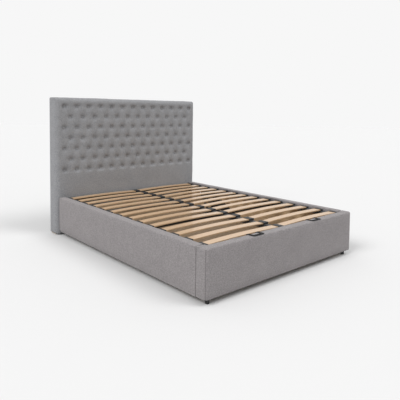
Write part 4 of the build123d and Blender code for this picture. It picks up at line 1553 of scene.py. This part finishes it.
@dataclass
class PullStrap:
    """A flat webbing loop that lifts the platform, sewn to a tab on the foot tube."""

    word: str
    webbing: float = 0.025
    thickness: float = 0.0018
    corner: float = 0.018
    corner_steps: int = 7
    bend: float = 0.0022
    bend_lines: tuple[float, ...] = (-0.0024, -0.0012, 0.0, 0.0012, 0.0024)
    cell_along: float = 0.0035
    cell_across: float = 0.0125
    end_margin: float = 0.002
    ripple: float = 0.0004
    ripple_start: float = 0.02
    ripple_rate: float = 60.0
    ripple_fade: float = 0.01
    still_step: Pair = (0.0014, -0.0016)
    moving_step: Pair = (-0.0016, 0.0010)
    stitch_inset: float = 0.003
    stitch_top_inset: float = 0.0025
    stitch_gap: float = 0.00015
    stitch_pitch: float = 0.0035
    stitch_length: float = 0.0026
    stitch_radius: float = 0.00035
    stitch_sides: int = 6

    def __post_init__(self) -> None:
        """Takes the places of the tab, the loop and the fold between them from the CAD model."""
        self.tab_low, self.tab_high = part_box(f"pull_strap_tab_{self.word}")
        self.loop_low, self.loop_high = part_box(f"pull_strap_loop_{self.word}")
        self.tube_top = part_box("platform_foot_tube")[1].z
        self.fold_y = (self.tab_low.y + self.tab_high.y) / 2
        self.fold_z = (self.loop_low.z + self.loop_high.z) / 2

    def build(self) -> list[Thing]:
        """Builds the strap and its stitching."""
        return [self.strip(), self.stitching()]

    def strip(self) -> Thing:
        """The strap as a single strip from its tab over the fold to the loop's end.

        Returns:
            The strap.
        """
        low_x, high_x = self.loop_low.x, self.loop_high.x
        reach, hang = self.fold_y - self.loop_low.y, self.fold_z - self.tab_low.z
        window = self.fold_z - self.tube_top
        mesh = bmesh.new()
        corners = [mesh.verts.new(place) for place in (
            (low_x, -reach, 0), (high_x, -reach, 0), (high_x, hang, 0), (low_x, hang, 0),
        )]
        mesh.faces.new(corners)
        bmesh.ops.bevel(
            mesh, geom=corners[:2], offset=self.corner, segments=self.corner_steps, profile=0.5,
            affect="VERTICES", material=-1,
        )
        left, right, end = low_x + self.webbing, high_x - self.webbing, self.webbing - reach
        cut(mesh, X, [left, right])
        cut(mesh, Y, [end, window])
        middles = {face: face.calc_center_median() for face in mesh.faces}
        hole = [
            face for face, middle in middles.items() if left < middle.x < right and end < middle.y < window
        ]
        bmesh.ops.delete(mesh, geom=hole, context="FACES")
        cut(mesh, Y, spaced(self.end_margin - reach, hang - self.end_margin, self.cell_along))
        cut(mesh, Y, self.bend_lines)
        cut(mesh, X, spaced(low_x, high_x, self.cell_across))
        bmesh.ops.triangulate(mesh, faces=[face for face in mesh.faces if len(face.verts) > 4])
        mesh.normal_update()
        wrap_cloth(mesh)
        for vert in mesh.verts:
            vert.co = self.folded(vert.co.x, vert.co.y)
        bmesh.ops.recalc_face_normals(mesh, faces=mesh.faces[:])
        strip = finished(f"pull_strap_{self.word}", mesh, STRAP_WEBBING)
        thicken(strip, "webbing thickness", self.thickness, 0.0)
        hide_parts(f"pull_strap_tab_{self.word}", f"pull_strap_loop_{self.word}")
        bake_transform(strip)
        return strip

    def folded(self, x: float, along: float) -> Vector:
        """A place of the flat strip, taken over the fold: behind it on the loop, below it on the tab.

        Args:
            x: the place across the bed.
            along: the way along the strip from its fold.

        Returns:
            The place in the scene.
        """
        radius = self.bend / 2
        if along <= -radius:
            fade = min(1.0, -along / self.ripple_fade)
            lift = self.ripple * math.sin((along + self.ripple_start) * self.ripple_rate) * fade
            return Vector((x, self.fold_y + along, self.fold_z + abs(lift)))
        if along >= radius:
            return Vector((x, self.fold_y, self.fold_z - along))
        angle = (along + radius) / (2 * radius) * math.pi / 2
        y, z = self.fold_y - radius, self.fold_z - radius
        return Vector((x, y + radius * math.sin(angle), z + radius * math.cos(angle)))

    def stitching(self) -> Thing:
        """The sewn box that holds the tab's layers together, just over its screws.

        Returns:
            The stitches, as one piece.
        """
        mesh = bmesh.new()
        face_y = self.tab_low.y - self.stitch_gap
        left, right = self.tab_low.x + self.stitch_inset, self.tab_high.x - self.stitch_inset
        low, top = self.tab_low.z + self.stitch_inset, self.tube_top - self.stitch_top_inset
        for start, end in (
            ((left, low), (left, top)), ((right, low), (right, top)),
            ((left, low), (right, low)), ((left, top), (right, top)),
        ):
            self.seam(mesh, Vector((start[0], face_y, start[1])), Vector((end[0], face_y, end[1])))
        wrap_cloth(mesh)
        made = finished(f"strap_stitches_{self.word}", mesh, SEWING_THREAD)
        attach(made, "platform")
        return made

    def seam(self, mesh: Mesh, start: Vector, end: Vector) -> None:
        """Lays a row of short stitches between two places.

        Args:
            mesh: the mesh that gets them.
            start: where the row starts.
            end: where it ends.
        """
        along = (end - start).normalized()
        turn = Vector((0, 0, 1)).rotation_difference(along).to_matrix().to_4x4()
        for number in range(int((end - start).length / self.stitch_pitch)):
            middle = start + along * (self.stitch_pitch * (number + 0.5))
            bmesh.ops.create_cone(
                mesh, cap_ends=True, segments=self.stitch_sides, radius1=self.stitch_radius,
                radius2=self.stitch_radius, depth=self.stitch_length,
                matrix=Matrix.Translation(middle) @ turn,
            )


# What the CAD model shows as it is

NODE_FINISHES: tuple[tuple[tuple[str, ...], Finish], ...] = (
    (("side_rail_board", "floor_ledge_left", "floor_ledge_right", "centre_floor_beam"), PINE_ALONG),
    (("foot_board", "headboard_cross_rails", "floor_ledges_end", "platform_rest_blocks"), PINE_ACROSS),
    (("headboard_stiles",), PINE_UPRIGHT),
    (("slats_",), BEECH),
    (("headboard_panel", "storage_head_board"), PALE_BOARD),
    (("floor_panel",), FLOOR_BOARD),
    (("slat_end_caps", "slat_centre_caps"), CAP_PLASTIC),
    (("foot_glides", "headboard_glides", "centre_legs"), FOOT_PLASTIC),
    (("strut_rod",), ROD_STEEL),
    (("strut_cylinder",), STRUT_PAINT),
    (("base_bolts", "platform_bolts", "bracket_pins", "lift_plate_pins", "front_link_pin"), ZINC),
    (("lift_plate", "rear_link", "front_link", "platform_bracket"), PLATE_COAT),
    (("foot_joint_plates", "headboard_angles"), PLATE_COAT),
    (("platform_",), TUBE_COAT),
    (("headboard_upholstery", "headboard_buttons"), HEAD_FABRIC_WITH_PAINTED_LIGHT),
    (("headboard_back_cloth",), BACK_LINING),
    (("side_rail_cover", "foot_cover"), RAIL_FABRIC),
    (("pull_strap",), STRAP_WEBBING),
)


def dress_nodes(nodes: dict[str, Thing]) -> None:
    """Gives every CAD node the finish of the first row that knows how its name starts.

    Args:
        nodes: the CAD model's nodes by name.
    """
    for name, node in nodes.items():
        finish = next(finish for starts, finish in NODE_FINISHES if name.startswith(starts))
        node.data.materials.clear()
        node.data.materials.append(finish.material())
        log.info("node %s wears %s", name, finish.name)


# Studio

@dataclass
class Studio:
    """A plain pale floor, soft light and the photograph's camera."""

    camera_place: tuple[float, float, float] = (-2.5858, -3.0700, 1.1762)
    yaw: float = 0.7238
    pitch: float = -0.0586
    roll: float = 0.0114
    lens: float = 40.37
    sensor: float = 36.0
    shift: Pair = (-0.0072, -0.1526)
    sky: float = 0.65
    backdrop: float = 0.93
    floor_radius: float = 40.0
    floor_sides: int = 64
    floor_seen: float = 0.781
    floor_bounce: float = 0.55
    lamps: tuple[tuple[str, float, tuple[float, float, float]], ...] = (
        ("soft_side_lamp", 1.50, (-0.75, -0.05, 0.66)),
        ("soft_front_lamp", 0.94, (0.35, -0.55, 0.76)),
    )
    lamp_spread: float = 0.5

    def build(self) -> None:
        """Sets up floor, sky, lamps and camera."""
        self.floor()
        self.world()
        for name, strength, direction in self.lamps:
            self.lamp(name, strength, direction)
        self.camera()
        bpy.context.scene.view_settings.view_transform = "Standard"

    def floor(self) -> None:
        """The floor, wide enough to end beyond every view."""
        mesh = bmesh.new()
        bmesh.ops.create_circle(mesh, cap_ends=True, segments=self.floor_sides, radius=self.floor_radius)
        made = place_mesh("studio_floor", mesh)
        material = bpy.data.materials.new("Pale floor")
        material.use_nodes = True
        shader = material.node_tree.nodes["Principled BSDF"]
        board = NodeBoard(material.node_tree)
        grey = board.colour(self.in_view(board), (self.floor_bounce,) * 3, (self.floor_seen,) * 3)
        sockets = [shader.inputs[name] for name in ("Base Color", "Roughness", "Specular IOR Level")]
        board.feed(sockets, (grey, 0.95, 0.1))
        made.data.materials.append(material)

    @staticmethod
    def in_view(board: NodeBoard) -> Socket:
        """1 for what the camera sees, straight or in a gloss, and 0 for the light on the bed.

        Args:
            board: the tree of the floor or the sky.

        Returns:
            The 1 or 0.
        """
        path = board.add("LightPath").outputs
        seen = board.math("MAXIMUM", path["Is Camera Ray"], path["Is Glossy Ray"])
        return board.math("MAXIMUM", seen, path["Is Transmission Ray"])

    def world(self) -> None:
        """A plain sky that lights softly and shows as the pale backdrop."""
        world = bpy.data.worlds.new("Pale room")
        world.use_nodes = True
        world.node_tree.nodes.clear()
        board = NodeBoard(world.node_tree)
        strength = board.blend(self.in_view(board), self.sky, self.backdrop)
        background = board.add("Background", {"Color": (1.0, 1.0, 1.0, 1.0), "Strength": strength})
        board.add("OutputWorld", {"Surface": background.outputs[0]})
        bpy.context.scene.world = world

    def lamp(self, name: str, strength: float, direction: tuple[float, float, float]) -> None:
        """Adds one broad soft lamp.

        Args:
            name: the lamp's name.
            strength: its strength.
            direction: from the bed towards the lamp.
        """
        data = bpy.data.lights.new(name, "SUN")
        data.angle = self.lamp_spread
        data.energy = strength
        made = bpy.data.objects.new(name, data)
        made.rotation_euler = (-Vector(direction)).to_track_quat("-Z", "Y").to_euler()
        bpy.context.scene.collection.objects.link(made)

    def camera(self) -> None:
        """The camera of the photograph, from the fit to its edges."""
        level = math.cos(self.pitch)
        forward = Vector((math.sin(self.yaw) * level, math.cos(self.yaw) * level, math.sin(self.pitch)))
        right = Vector((math.cos(self.yaw), -math.sin(self.yaw), 0))
        up = right.cross(forward)
        turned_right = right * math.cos(self.roll) + up * math.sin(self.roll)
        turned_up = up * math.cos(self.roll) - right * math.sin(self.roll)
        data = bpy.data.cameras.new("photo_camera")
        data.lens = self.lens
        data.sensor_width = self.sensor
        data.shift_x, data.shift_y = self.shift
        made = bpy.data.objects.new("photo_camera", data)
        rotation = Matrix((turned_right, turned_up, -forward)).transposed().to_4x4()
        made.matrix_world = Matrix.Translation(self.camera_place) @ rotation
        bpy.context.scene.collection.objects.link(made)
        bpy.context.scene.camera = made


def main(model: dict[str, object]) -> None:
    """Dresses the CAD nodes, builds the soft pieces and sets up the studio.
    """
    logging.basicConfig(level=logging.INFO, format="%(message)s")
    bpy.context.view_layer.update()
    dress_nodes(model["nodes"])
    for assembly in (Headboard(model["nodes"]), StorageBase(), PullStrap("left"), PullStrap("right")):
        for piece in assembly.build():
            log.info("piece %s: %d faces", piece.name, len(piece.data.polygons))
    Studio().build()


if __name__ == "__main__":
    main(frame)
